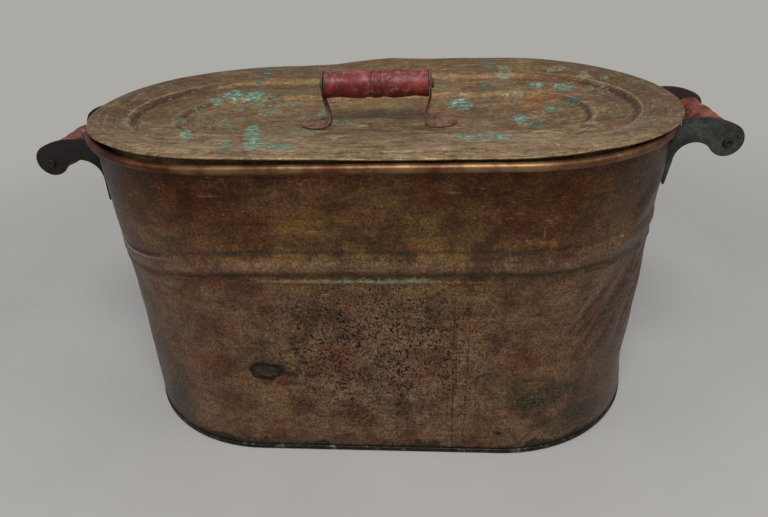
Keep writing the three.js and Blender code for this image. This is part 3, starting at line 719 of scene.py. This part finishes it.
def tank_paint():
    """Worn brown copper. Its marks are set by place, on the front most of all."""
    p = Paint("tank_copper", 0.6, 0.2)
    step, times, coat, noise, scaled = p.step, p.times, p.coat, p.noise, p.scaled
    minus, near, blob, blobs = p.minus, p.near, p.blob, p.blobs
    fray = noise(9, 5, 0.65, 2)
    broad = noise(85, 5, 0.62, 3, (0.8, 0.8, 1.2))
    cloud = noise(26, 6, 0.68, 5)
    fine = noise(2.4, 5, 0.75, 8)
    grain = noise(1.5, 3, 0.7, 18)
    streaks = noise(7, 6, 0.7, 9, (0.12, 0.12, 1.3))
    p.colour = p.ramp(broad, [(0.34, (120, 80, 58)), (0.5, (136, 102, 72)), (0.66, (150, 120, 82))])
    yellow = blobs(
        fray, ((-10, -160, 240), (150, 90, 60)), ((60, -160, 150), (90, 90, 100)),
        ((-70, -160, 80), (60, 90, 70)))
    coat(times(yellow, step(cloud, 0.36, 0.6, 0.1, 0.65)), (156, 122, 66))
    # a pale patch on the lower front: wear, and a painted reflection of the lit floor
    wear_and_floor_reflection = times(
        blob((10, -160, 110), (170, 80, 130), fray, 0.6, 0.9),
        step(noise(17, 6, 0.72, 51), 0.4, 0.62, 0.4, 1))
    coat(wear_and_floor_reflection, (184, 150, 122))
    # painted reflection of the floor: the wall below the beads is lighter
    coat(step(p.z, 225, 190, 0, 0.35), (160, 128, 106))
    red = step(noise(48, 5, 0.65, 14), 0.5, 0.64, 0, 0.6)
    coat(red, (136, 76, 50))
    coat(step(cloud, 0.34, 0.62, 0.6, 0), (66, 46, 34))
    coat(step(streaks, 0.5, 0.68, 0, 0.45), (76, 56, 44))
    coat(step(noise(5, 5, 0.7, 29, (0.1, 0.1, 1.6)), 0.56, 0.7, 0, 0.35), (146, 112, 76))
    # painted shade: the upper part and the ends are darker
    shade = times(step(p.z, 236, 300, 0, 0.8), step(p.unsigned(p.plus(p.x, 20)), 40, 140, 0.6, 1.1))
    p.shade(shade, (184, 156, 128))
    # painted shade at both ends, which turn away from the light
    side = step(p.unsigned(p.x), 190, 262, 0, 0.75)
    p.shade(side, (176, 176, 178))
    # painted highlights and shade along the leaning bent folds low down at the right end, and a greyer tone
    # there
    round_end = scaled(
        p.math("ARCTAN2", p.y, minus(p.x, HALF)), END_ARC, END_ARC * math.pi / 2 + HALF - FOLDS_AT)
    lean, up = math.radians(51), minus(p.z, FOLDS_Z)
    across = minus(times(up, math.cos(lean)), times(round_end, math.sin(lean)))
    along = p.plus(times(round_end, math.cos(lean)), times(up, math.sin(lean)))
    fold_sheen_and_shade = noise(11, 3, 0.6, 61, place=p.joined(across, times(along, 0.1), 0))
    there = step(p.vector("LENGTH", p.joined(times(round_end, 1 / 80), times(up, 1 / 75), 0)), 1, 0.6)
    there = times(there, step(p.x, 180, 200))
    # painted highlights on the folds' ridges and painted shade between them
    coat(times(step(fold_sheen_and_shade, 0.53, 0.6), there), (158, 142, 126), 0.42)
    coat(times(step(fold_sheen_and_shade, 0.47, 0.4), there), (62, 48, 40), 0.6)
    coat(times(step(p.x, 170, 250), step(p.z, 236, 200, 0.1, 0.4)), (112, 98, 88))
    # pits and specks, densest on the lower front
    zone = p.plus(blob((0, -160, 130), (170, 110, 150), fray, 0.4, 0.8), 0.3)
    specks = step(grain, 0.5, 0.6)
    spots = step(noise(3.0, 4, 0.7, 21), 0.52, 0.6)
    pits = step(p.cells(5.5, shift=4), 0.3, 0.14)
    where = step(noise(11, 5, 0.75, 6), 0.36, 0.54, 0.35, 1)
    dark = times(p.most([times(specks, 0.8), spots, pits]), where)
    coat(p.math("MULTIPLY", times(dark, 0.88), zone, clamp=True), (38, 28, 24))
    # painted highlights: small light glints
    glints = times(step(noise(2.4, 4, 0.7, 33, (0.4, 0.4, 1.4)), 0.57, 0.66), step(cloud, 0.4, 0.6))
    coat(glints, (176, 140, 104), 0.5)
    lines = step(noise(3, 4, 0.65, 12, (1, 1, 0.03)), 0.55, 0.66)
    lines = times(lines, blob((55, -160, 95), (75, 60, 90), fray, 0.5, 0.6))
    coat(lines, (52, 40, 34), 0.5)
    # the side seam's two edges, clearest low down
    for x, tilt in ((76.6, 0), (91.2, 0.025)):
        middle = scaled(minus(p.z, 160), tilt, x)
        off = p.apart(p.x, middle)
        edge = times(step(off, 1.2, 0.3), step(p.y, -100, -140))
        edge = times(edge, times(step(p.z, 210, 150, 0.15, 1), step(fine, 0.36, 0.56, 0.2, 0.8)))
        coat(edge, (44, 33, 28), 0.75)
    # tarnish along the beads and dust in the groove below them, with painted light and shade on the beads
    left_end = times(step(p.x, -120, -268), step(p.y, 150, 45))
    level = minus(scaled(left_end, 14, p.z), LOW_EDGE)
    level = scaled(level, scaled(left_end, 0.35, 1), LOW_EDGE)
    over = near(level, scaled(fray, 4, 239.0), 3.4, 0.8)
    over = times(over, step(noise(24, 5, 0.65, 17, (1, 1, 0.3)), 0.47, 0.58))
    coat(over, (58, 60, 60), 0.7)
    groove = times(near(level, 219.5, 3.0, 0.8), step(noise(22, 5, 0.65, 19, (1, 1, 0.3)), 0.36, 0.6))
    coat(groove, (54, 48, 42), 0.15)
    # painted sheen: a lighter band along the bead's crest
    crest = times(near(level, 229, 7, 2), step(cloud, 0.36, 0.6, 0.3, 0.9))
    coat(crest, (146, 122, 110), 0.45)
    # painted shade under the bead, with an olive tint
    olive_underside_shade = times(near(level, 217.5, 5.5, 3), step(noise(5, 5, 0.75, 53, (0.5, 0.5, 1)), 0.4, 0.56, 0.2, 1))
    coat(olive_underside_shade, (62, 52, 36), 0.6)
    bent = step(left_end, 0.3, 0.9)
    # at the bent left end: painted shade in the crease, a painted highlight under it and a painted light
    # band down the bead
    fold_crease_shade = times(near(level, 242.5, 2.4, 0.8), bent)
    coat(fold_crease_shade, (46, 30, 24), 0.75)
    fold_highlight = times(near(level, 238.6, 1.6, 0.5), bent)
    fold_lit_band = times(near(level, 230.5, 9, 5), bent)
    coat(fold_lit_band, (142, 118, 105), 0.35)
    coat(fold_highlight, (186, 164, 142), 0.6)
    dust = near(level, scaled(cloud, 5, 210.6), scaled(fray, 14, -3.6), 0.3)
    dust = times(dust, blob((-10, -160, 212), (122, 60, 60), fray, 0.8, 0.6))
    green = blob((8, -160, 212), (60, 60, 60), fray, 0.8, 0.5)
    coat(dust, p.mix(green, (166, 146, 112), (140, 158, 134)), 0.85)
    # stains
    ring_away = p.vector(
        "MULTIPLY", p.vector("SUBTRACT", p.mm, RING_PLACE), (1 / RING_SIZE[0], 0, 1 / RING_SIZE[1]))
    ring = scaled(minus(fray, 0.5), 1.3, p.vector("LENGTH", ring_away))
    ring = scaled(minus(fine, 0.5), 0.5, ring)
    facing = step(p.y, -100, -140)
    coat(times(step(ring, 1.1, 0.8), times(facing, 0.75)), (56, 60, 46))
    coat(times(near(ring, 0.82, 0.36, 0.08), times(facing, 0.85)), (34, 27, 29))
    dots = p.most([
        blobs(
            fray, ((-77, -157, 107), (5, 30, 4), 0.5), ((-84, -157, 103), (8, 30, 6), 0.6),
            ((124, -157, 28), (4, 30, 3), 0.6), ((135, -157, 34), (3, 30, 3), 0.6)),
        times(blob((-44, -157, 252), (7, 30, 4), fine, 1.6), 0.6)])
    coat(times(dots, step(fine, 0.3, 0.5, 0.4, 0.85)), (38, 31, 27))
    patina = blobs(
        cloud, ((165, -150, 72), (54, 60, 28), 0.9, 0.7), ((-226, -118, 34), (34, 50, 44), 0.9, 0.8),
        ((-150, -150, 4), (70, 50, 16), 0.9, 0.8), ((205, -130, 30), (60, 50, 34), 0.9, 0.8))
    coat(times(patina, step(fine, 0.36, 0.6, 0.4, 0.9)), (60, 64, 47))
    # the foot's dark green tarnish, which creeps up from the seam
    creep = scaled(minus(cloud, 0.5), 60, 6)
    low = step(minus(p.z, scaled(fray, 8, creep)), 3, -3)
    coat(low, (44, 43, 37), 0.85)
    coat(step(p.z, 8.5, 5.5, 0, 0.8), (38, 37, 33))
    bloom = times(step(p.z, 8, 5), step(noise(11, 5, 0.75, 41), 0.54, 0.62))
    coat(bloom, (120, 126, 106), 0.7)
    # fresh scratches
    scratch = step(fine, 0.38, 0.54)
    marks = p.most([
        blobs(
            fine, ((-47, -159, 264.6), (6.5, 9, 0.8), 0.5), ((-42.5, -157, 198.2), (6, 9, 0.7), 0.5),
            ((-85, -156, 42), (0.6, 9, 7), 0.5), ((228, -122, 240), (2.2, 12, 1.2), 0.3)),
        times(blob((-131, -160, 299), (15, 12, 2.0), streaks, 2.6), 0.35),
        times(blob((72, -160, 300.6), (9, 12, 1.5), streaks, 2.6), 0.35)])
    coat(times(marks, scratch), (186, 168, 140), 0.9)
    gold = blobs(
        grain, ((154, -157, 273.8), (5, 9, 0.9), 1.6), ((151.6, -157, 261), (1, 9, 6), 2.0),
        ((150, -157, 251), (3.4, 9, 3.4), 3.4), ((160, -155, 249.5), (3.6, 9, 4), 3.4))
    coat(gold, (168, 122, 72), 0.7)
    # the rim, rubbed to a warmer and brighter copper, with a painted highlight on its lower edge and painted
    # shade at its ends
    top = step(p.z, 319.4, 320.4)
    rubbed = step(noise(34, 4, 0.6, 30), 0.38, 0.62)
    rim = p.mix(rubbed, (92, 58, 36), (138, 106, 74))
    coat(top, p.mix(step(cloud, 0.5, 0.62, 0, 0.5), rim, (84, 52, 38)))
    # painted highlight: a thin light line along the rim's lower edge
    lip = times(near(p.z, 320.5, 1, 0.4), step(fray, 0.4, 0.6, 0.2, 0.8))
    coat(lip, (184, 152, 116))
    # painted shade: the rim's two ends are darker
    p.shade(times(top, step(p.x, -60, -240)), (186, 146, 116))
    p.shade(times(top, step(p.x, 170, 260)), (206, 180, 156))
    matt = scaled(top, -0.85, 1)
    p.shade(times(matt, step(fine, 0.38, 0.6, 0, 0.9)), (182, 172, 164))
    rough = p.plus(step(cloud, 0.3, 0.7, 0.32, 0.46), step(fine, 0.4, 0.7, 0, 0.14))
    rough = scaled(times(rough, matt), 1, times(top, 0.36))
    p.feed(p.shader.inputs["Metallic"], scaled(top, 0.1, 0.6))
    p.bump((cloud, 1, 0.3), (streaks, 0.5, 0.2), (times(minus(fine, times(dark, 0.6)), matt), 0.4, 0.4))
    return p.done(rough)


def lid_paint():
    """Streaked brown copper, with dirt, painted shade and highlights at its rings and verdigris set by
    place.
    """
    p = Paint("lid_copper", 0.4, 0.25)
    step, times, coat, noise, blob = p.step, p.times, p.coat, p.noise, p.blob
    fray = noise(10, 5, 0.75, 2, (0.8, 1.1, 1))
    broad = noise(70, 5, 0.62, 6, (0.7, 1.2, 1))
    cloud = noise(24, 6, 0.68, 4, (0.6, 1.2, 1))
    fine = noise(2.6, 5, 0.75, 12)

    def ring_reach(half):
        past = p.math("MAXIMUM", p.minus(p.apart(p.x, LID_X), half), 0)
        over = p.minus(p.y, LID_Y)
        return past, p.math("SQRT", p.plus(times(past, past), times(over, over)))

    # the streaks run along the sheet and round the stamped rings
    swirl = p.joined(times(p.x, 0.12), times(ring_reach(138)[1], 1.2), times(p.y, 0.1))
    streaks = noise(8, 6, 0.7, 9, place=swirl)
    pale_streaks = noise(6, 6, 0.74, 23, place=swirl)
    p.colour = p.ramp(broad, [(0.34, (112, 80, 54)), (0.5, (128, 98, 66)), (0.66, (142, 112, 78))])
    coat(step(cloud, 0.46, 0.66, 0, 0.6), (150, 122, 84))
    coat(step(noise(36, 5, 0.65, 44), 0.5, 0.64, 0, 0.55), (118, 100, 54))
    orange = times(step(noise(24, 6, 0.7, 15, (0.5, 1.3, 1)), 0.53, 0.65), 0.5)
    orange = p.most([orange, times(blob((172, 58, 320), (56, 36, 60), fray, 0.9, 0.7), 0.7)])
    coat(orange, (158, 98, 58))
    violet = p.blobs(
        fray, ((112, 14, 310), (30, 34, 40), 0.7, 0.6), ((-232, 70, 330), (50, 50, 40), 0.7, 0.8),
        ((240, 30, 320), (16, 50, 40), 0.7, 0.7), ((-80, -84, 320), (26, 22, 40), 0.7, 0.6))
    coat(violet, (112, 80, 68), 0.55)
    # painted light and shade: the front of the lid is lighter, the back and the ends darker
    coat(step(p.y, -10, -120, 0, 0.55), (174, 146, 110))
    coat(step(p.y, 40, 160, 0, 0.5), (104, 76, 42))
    p.shade(step(p.unsigned(p.x), 180, 270, 0, 0.8), (206, 194, 182))
    coat(step(streaks, 0.5, 0.66, 0, 0.5), (88, 62, 42))
    coat(times(step(pale_streaks, 0.52, 0.66, 0, 0.6), step(cloud, 0.4, 0.6, 0.3, 1)), (178, 150, 114))
    mottled = noise(13, 5, 0.74, 71, (0.45, 1, 1))
    rougher = times(step(p.y, 70, -70, 0.35, 1.1), step(p.unsigned(p.x), 270, 190, 0.5, 1))
    coat(times(step(mottled, 0.52, 0.61, 0, 0.7), rougher), (186, 158, 122))
    coat(times(step(mottled, 0.47, 0.38, 0, 0.75), rougher), (80, 60, 42))
    coat(step(noise(17, 6, 0.75, 73, (0.6, 1, 1)), 0.54, 0.64, 0, 0.45), (114, 112, 82))
    # the rings' ends are darkened by dirt and painted shade, and painted highlights lie beside and behind
    # them
    # stamped rings: half length, radius, where the dark ends start, dirt and shade, lit band strength
    for half, radius, start, dirt_and_shade, rubbed in ((138, 116.2, 60, 0.75, 0.5), (143, 69, 28, 0.65, 0.45)):
        past, reach = ring_reach(half)
        off = p.minus(p.scaled(p.minus(fray, 0.5), 4, reach), radius)
        ends = times(step(past, start, start + 30), step(p.y, -70, -10))
        band = step(p.unsigned(off), 3.4, 1)
        # dirt and painted shade on the rings' ends, where their step walls turn from the light
        coat(times(band, ends, dirt_and_shade), (66, 46, 36))
        # painted highlight: a light line outside each ring
        ring_highlight = times(p.near(off, 5.5, 1.8, 0.5), step(past, 20, 60))
        coat(ring_highlight, (172, 146, 112), 0.5)
        # painted light: the rings' back walls, which face the light, are lighter
        lit = times(step(p.unsigned(off), 4.5, 2.0), step(p.y, 30, 60), step(past, 50, 10))
        coat(times(lit, step(streaks, 0.36, 0.56), rubbed), (170, 134, 92))
    # greenish film and verdigris: x, y, half width, half depth, strength
    film = step(noise(40, 6, 0.72, 18), 0.53, 0.66, 0, 0.5)
    coat(film, (122, 118, 80))
    pale = [
        (-123, 39, 28, 18, 0.9), (-160, 47, 12, 10, 0.8), (-168, 6, 16, 22, 0.9), (-147, -120, 14, 20, 0.8),
        (-208, -10, 9, 24, 0.9), (-184, -52, 18, 24, 0.9), (-176, -88, 12, 18, 0.8), (-73, -36, 28, 34, 0.8),
        (-36, 4, 34, 22, 0.9), (-60, 34, 24, 16, 0.7), (100, -84, 42, 26, 1), (139, 130, 16, 20, 0.9),
        (140, 114, 14, 10, 0.9), (198, 124, 24, 16, 0.7), (236, 60, 24, 40, 0.5), (228, 97, 12, 18, 0.9),
        (246, 83, 10, 12, 0.8), (-100, 60, 40, 16, 0.7), (-196, 30, 20, 26, 0.6), (60, 96, 44, 12, 0.5),
        (-150, 70, 50, 34, 0.65), (-100, -70, 50, 60, 0.55), (20, -60, 30, 20, 0.5), (150, 70, 60, 40, 0.4)]
    strong = [
        (-176, 82, 22, 26, 1), (-190, 60, 18, 12, 0.9), (-152, 80, 20, 20, 1), (-131, -13, 14, 18, 1),
        (-125, -34, 16, 24, 1), (-116, -66, 17, 28, 1), (-108, -96, 18, 26, 1), (-97, -130, 22, 24, 1),
        (-78, -132, 28, 20, 1), (-62, -118, 16, 14, 0.8), (-122, -128, 12, 22, 0.9),
        (-136, -92, 10, 18, 0.8), (-193, -35, 9, 14, 0.85), (-184, -59, 11, 14, 0.95),
        (-180, -69, 10, 12, 0.85), (-62, 30, 22, 12, 0.6), (88, 52, 25, 24, 1), (147, 4, 17, 24, 1),
        (201, 80, 21, 24, 1), (183, 31, 15, 12, 1), (174, 93, 14, 15, 0.9), (85, -83, 18, 13, 0.85),
        (116, -83, 18, 14, 0.8)]
    deep = [
        (-149, 142, 15, 28, 1), (-152, 116, 10, 14, 1), (-122, 74, 20, 9, 0.9), (162, -13, 14, 24, 1),
        (124, 152, 10, 26, 1), (116, 93, 14, 20, 0.9), (130, 128, 8, 16, 0.7), (-96, 88, 26, 9, 0.8),
        (206, 38, 16, 18, 0.8)]
    torn = noise(8, 6, 0.78, 27, (0.55, 1.1, 1))
    speckle = noise(3.6, 5, 0.8, 52, (0.6, 1, 1))
    gaps = noise(5, 5, 0.8, 57, (0.4, 1.2, 1))
    for spots, tones in (
        (pale, ((112, 112, 80), (124, 132, 102), (168, 172, 144))),
        (deep, ((56, 74, 66), (70, 100, 90), (104, 134, 118))),
        (strong, ((84, 110, 88), (96, 150, 132), (182, 214, 196))),
    ):
        nearby = p.most([
            times(blob((x, y, 320), (a, b, ANY), soft=1), share) for x, y, a, b, share in spots])
        shown = step(p.scaled(nearby, 0.56, p.scaled(torn, 1.7, -0.34)), 0.66, 0.84)
        shown = times(shown, step(nearby, 0.02, 0.2))
        tone = p.ramp(speckle, [(0.36, tones[0]), (0.49, tones[1]), (0.6, tones[2])])
        shown = times(shown, step(gaps, 0.4, 0.52, 0.15, 0.95))
        coat(shown, tone)
    crust = shown  # the strong verdigris, which was painted last, stands up from the sheet
    white = p.most([
        blob((159, -140, 330), (2, 7, ANY), fine, 0.5), blob((66, -140, 330), (4, 10, ANY), fine, 2.4),
        blob((30, -148, 330), (12, 6, ANY), streaks, 2.4), blob((-16, -8, 310), (7, 7, ANY), streaks, 2.4),
        blob((159, -45, 313), (10, 8, ANY), streaks, 2.0)])
    coat(white, (200, 188, 164), 0.6)
    scuffs = times(
        step(noise(1.8, 3, 0.65, 35, place=swirl), 0.57, 0.66), step(noise(40, 3, 0.6, 37), 0.42, 0.56))
    coat(scuffs, (192, 172, 140), 0.6)
    coat(step(noise(9, 6, 0.8, 63, (0.6, 0.9, 1)), 0.5, 0.64, 0, 0.55), (96, 72, 56))
    coat(step(fine, 0.52, 0.66, 0, 0.6), (80, 58, 40))
    p.shade(step(noise(3.0, 4, 0.75, 47, (0.6, 0.7, 1)), 0.4, 0.6, 0, 0.7), (190, 184, 174))
    rough = p.plus(step(cloud, 0.3, 0.7, 0.46, 0.58), times(crust, 0.25))
    p.bump((cloud, 1, 0.3), (streaks, 0.5, 0.25), (fine, 0.3, 0.35), (crust, 0.5, 0.5))
    return p.done(rough)


def iron_paint():
    """Grey-green iron. It is nearly black on the left, and at the right end's back it has a painted reddish
    reflection of the grip and painted shade.
    """
    p = Paint("bracket_iron", 0.2, 0.3)
    cloud = p.noise(14, 5, 0.65, 3)
    fine = p.noise(2.2, 5, 0.7, 7)
    p.colour = p.ramp(cloud, [(0.34, (34, 32, 29)), (0.5, (52, 53, 48)), (0.66, (74, 76, 68))])
    p.coat(p.step(p.noise(7, 5, 0.7, 15), 0.54, 0.68, 0, 0.7), (44, 34, 30))
    p.coat(p.step(fine, 0.54, 0.7, 0, 0.5), (98, 98, 88))
    left = p.step(p.x, -100, -200, 0, 0.92)
    p.coat(left, (26, 20, 18))
    # painted reflection of the red grip and painted shade on the right end's back bracket
    grip_reflection_and_shade = p.times(p.step(p.x, 100, 200), p.step(p.y, 20, 40, 0, 0.75))
    p.coat(grip_reflection_and_shade, (50, 30, 29))
    p.bump((cloud, 1.2, 0.35), (fine, 0.4, 0.4))
    return p.done(p.step(cloud, 0.3, 0.7, 0.66, 0.5))


def pin_paint():
    """The peened ends of the side rods, nearly black with old grease."""
    p = Paint("bracket_pin", 0.2, 0.3)
    cloud = p.noise(3, 5, 0.7, 6)
    p.colour = p.ramp(cloud, [(0.36, (16, 13, 12)), (0.52, (26, 21, 19)), (0.66, (42, 36, 32))])
    p.bump((cloud, 0.5, 0.5))
    return p.done(p.step(cloud, 0.3, 0.7, 0.5, 0.7))


def rust_paint():
    """Rusty iron, darker towards the top."""
    p = Paint("rusty_iron", 0.2)
    cloud = p.noise(9, 5, 0.7, 4)
    fine = p.noise(1.8, 5, 0.7, 9)
    p.colour = p.ramp(cloud, [(0.36, (66, 50, 40)), (0.5, (96, 74, 56)), (0.64, (132, 96, 66))])
    orange = p.step(p.noise(6, 5, 0.7, 13), 0.5, 0.62)
    p.coat(orange, (150, 88, 48), 0.7)
    p.coat(p.step(fine, 0.55, 0.72, 0, 0.6), (60, 42, 34))
    p.coat(p.step(p.z, 318, 330, 0, 0.6), (62, 48, 42))
    p.bump((cloud, 1, 0.4), (fine, 0.4, 0.5))
    return p.done(p.step(cloud, 0.3, 0.7, 0.8, 0.62))


def grip_paint(name, axis, tone):
    """Worn red paint on turned wood. The grain and the rubbing follow the grip's own axis."""
    p = Paint(name, 0, 0.35)
    along = {"X": p.x, "Y": p.y}[axis]
    stretch = (0.08, 1, 1) if axis == "X" else (1, 0.08, 1)
    rings = (1, 0.12, 0.12) if axis == "X" else (0.12, 1, 0.12)
    cloud = p.noise(13, 5, 0.6, 5)
    grain = p.noise(1.6, 5, 0.7, 3, stretch)
    lathe_rings = p.noise(3.0, 3, 0.6, 8, rings)
    fine = p.noise(1.4, 4, 0.7, 11)
    p.colour = p.ramp(cloud, [(0.34, tone[0]), (0.52, tone[1]), (0.68, tone[2])])
    wear = p.step(p.plus(p.noise(8, 6, 0.75, 17), p.times(grain, 0.35)), 0.68, 0.8)
    p.coat(wear, BARE, 0.55)
    p.coat(p.step(grain, 0.55, 0.7, 0, 0.35), (74, 34, 32))
    p.coat(p.step(lathe_rings, 0.55, 0.7, 0, 0.3), (92, 44, 42))
    for at in (0, 1.9, -1.9, 5.2, -5.2):
        off = p.apart(along, at)
        p.coat(p.step(off, 0.9, 0.3, 0, 0.45 if at else 0.2), (66, 30, 28))
    end = p.near(along, 0, 50.5, 52.8)
    p.coat(end, (70, 42, 34), 0.6)
    p.bump((grain, 0.35, 0.35), (lathe_rings, 0.3, 0.25), (fine, 0.15, 0.3), (wear, 0.2, -0.4))
    return p.done(p.step(cloud, 0.3, 0.7, 0.55, 0.42))


# ------------------------------------------------------------------ assembly

tank_copper = tank_paint()
lid_copper = lid_paint()
iron = iron_paint()
rust = rust_paint()
pin = pin_paint()
FADED = ((78, 20, 27), (108, 33, 36), (142, 62, 55))
WARM = ((80, 34, 26), (120, 56, 37), (158, 88, 56))
PINK = ((72, 34, 29), (102, 54, 44), (132, 80, 64))
BARE = (160, 108, 94)

build_wall(tank_copper)
build_bottom(tank_copper)
build_lid(lid_copper)
build_collar(lid_copper)
frame["nodes"]["rim_wire"].data.materials.clear()
frame["nodes"]["rim_wire"].data.materials.append(rust)

for side, sign, tone in (("left", -1, PINK), ("right", 1, WARM)):
    for face, way in (("front", -1), ("back", 1)):
        build_bracket(side, face, iron)
        for number in (1, 2, 3):
            node = f"{side}_{face}_rivet_{number}"
            low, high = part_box(node)
            middle = (low + high) / 2
            out = Vector((abs(middle.x) - HALF * MM, abs(middle.y), 0)).normalized()
            build_rivet(node, "tank", (sign * out.x, way * out.y, -0.03), iron)
    place = (sign * ROD_X, 0, ROD_Z[side])
    build_rod(f"{side}_handle_rod_iron", f"{side}_handle_rod", "tank", (0, 1, 0), place, WEB_THICK, pin)
    paint = grip_paint(f"red_wood_{side}", "Y", tone)
    build_grip(f"{side}_grip_wood", f"{side}_grip", f"{side}_handle_grip", (0, 1, 0), place, paint)
    build_strap(side, rust)
    for face in ("front", "back"):
        build_rivet(f"lid_rivet_{side}_{face}", "lid", (0, 0, 1), rust)

build_rod("lid_rod_iron", "lid_rod", "lid", (1, 0, 0), (0, 0, LID_ROD_Z), 2.0, rust)
paint = grip_paint("red_wood_lid", "X", FADED)
build_grip("lid_grip_wood", "lid_grip", "lid_handle_grip", (1, 0, 0), (0, 0, LID_ROD_Z), paint)


# ------------------------------------------------------------------ stage, light and camera

def stage():
    """The floor."""
    paint = Paint("pale_floor")
    paint.colour = paint.ramp(paint.noise(400, 4, 0.6), [(0.3, (166, 163, 158)), (0.7, (174, 171, 167))])
    floor_mesh = bpy.data.meshes.new("floor")
    reach = 30.0
    floor_mesh.from_pydata(
        [(-reach, -reach, 0), (reach, -reach, 0), (reach, reach, 0), (-reach, reach, 0)], [], [(0, 1, 2, 3)])
    floor_mesh.materials.append(paint.done(0.85))
    far_away(paint)
    floor = placed("floor", floor_mesh)


def far_away(paint):
    """Far from the object the floor is seen as an even backdrop, which lights nothing."""
    glow = paint.new("ShaderNodeEmission")
    glow.inputs["Color"].default_value = (*BACKDROP, 1)
    mixed = paint.new("ShaderNodeMixShader")
    path = paint.new("ShaderNodeLightPath")
    seen = paint.math("MAXIMUM", path.outputs["Is Camera Ray"], path.outputs["Is Glossy Ray"])
    away = paint.step(paint.vector("LENGTH", paint.mm), 520, 1250)
    values = (paint.times(seen, away), paint.shader.outputs[0], glow.outputs[0])
    for socket, value in zip(mixed.inputs, values):
        paint.feed(socket, value)
    end = next(n for n in paint.tree.nodes if n.type == "OUTPUT_MATERIAL")
    paint.feed(end.inputs[0], mixed.outputs[0])


def world():
    """A weak even light all round, which the camera sees as the backdrop."""
    sky = bpy.data.worlds.new("studio")
    bpy.context.scene.world = sky
    sky.use_nodes = True
    nodes, links = sky.node_tree.nodes, sky.node_tree.links
    nodes.clear()
    out = nodes.new("ShaderNodeOutputWorld")
    light = nodes.new("ShaderNodeBackground")
    seen = nodes.new("ShaderNodeBackground")
    mix = nodes.new("ShaderNodeMixShader")
    path = nodes.new("ShaderNodeLightPath")
    light.inputs["Color"].default_value = (0.9, 0.95, 1.0, 1)
    light.inputs["Strength"].default_value = 0.3
    seen.inputs["Color"].default_value = (*BACKDROP, 1)
    links.new(path.outputs["Is Camera Ray"], mix.inputs[0])
    links.new(light.outputs[0], mix.inputs[1])
    links.new(seen.outputs[0], mix.inputs[2])
    links.new(mix.outputs[0], out.inputs[0])


def lamp(name, place, aim, size, watts):
    """A round soft lamp. Its place, its aim and its size are in metres."""
    data = bpy.data.lights.new(name, "AREA")
    data.shape = "DISK"
    data.size = size
    data.energy = watts
    lamp_object = placed(name, data)
    lamp_object.location = place
    lamp_object.rotation_euler = (Vector(aim) - Vector(place)).to_track_quat("-Z", "Y").to_euler()


# The camera's place in millimetres, its angles in degrees, and its focal length in the picture's pixels
EYE, YAW_PITCH_ROLL = (55.4, -649.0, 515.6), (-4.87, 29.49, -2.385)
FOCAL_PIXELS, WIDTH_PIXELS, SENSOR = 640.36, 768, 36


def camera():
    data = bpy.data.cameras.new("camera")
    data.sensor_width = SENSOR
    data.lens = FOCAL_PIXELS / WIDTH_PIXELS * SENSOR
    eye = placed("camera", data)
    yaw, pitch, roll = (math.radians(a) for a in YAW_PITCH_ROLL)
    ahead = Vector((math.sin(yaw) * math.cos(pitch), math.cos(yaw) * math.cos(pitch), -math.sin(pitch)))
    level = Vector((math.cos(yaw), -math.sin(yaw), 0))
    upright = level.cross(ahead)
    right = math.cos(roll) * level + math.sin(roll) * upright
    up = -math.sin(roll) * level + math.cos(roll) * upright
    turn = Matrix((right, up, -ahead)).transposed().to_4x4()
    turn.translation = Vector(EYE) * MM
    eye.matrix_world = turn
    bpy.context.scene.camera = eye


stage()
world()
lamp("key", (0.15, -1.25, 2.2), (0, 0, 0.25), 1.1, 40)
lamp("left_fill", (-1.9, -0.9, 1.5), (0, 0, 0.2), 1.2, 9)
lamp("right_fill", (1.9, -0.7, 1.6), (0, 0, 0.2), 1.2, 8)
lamp("back_fill", (0.0, 1.0, 2.6), (0, 0, 0.2), 1.6, 6)
camera()
bpy.context.scene.view_settings.view_transform = "Standard"
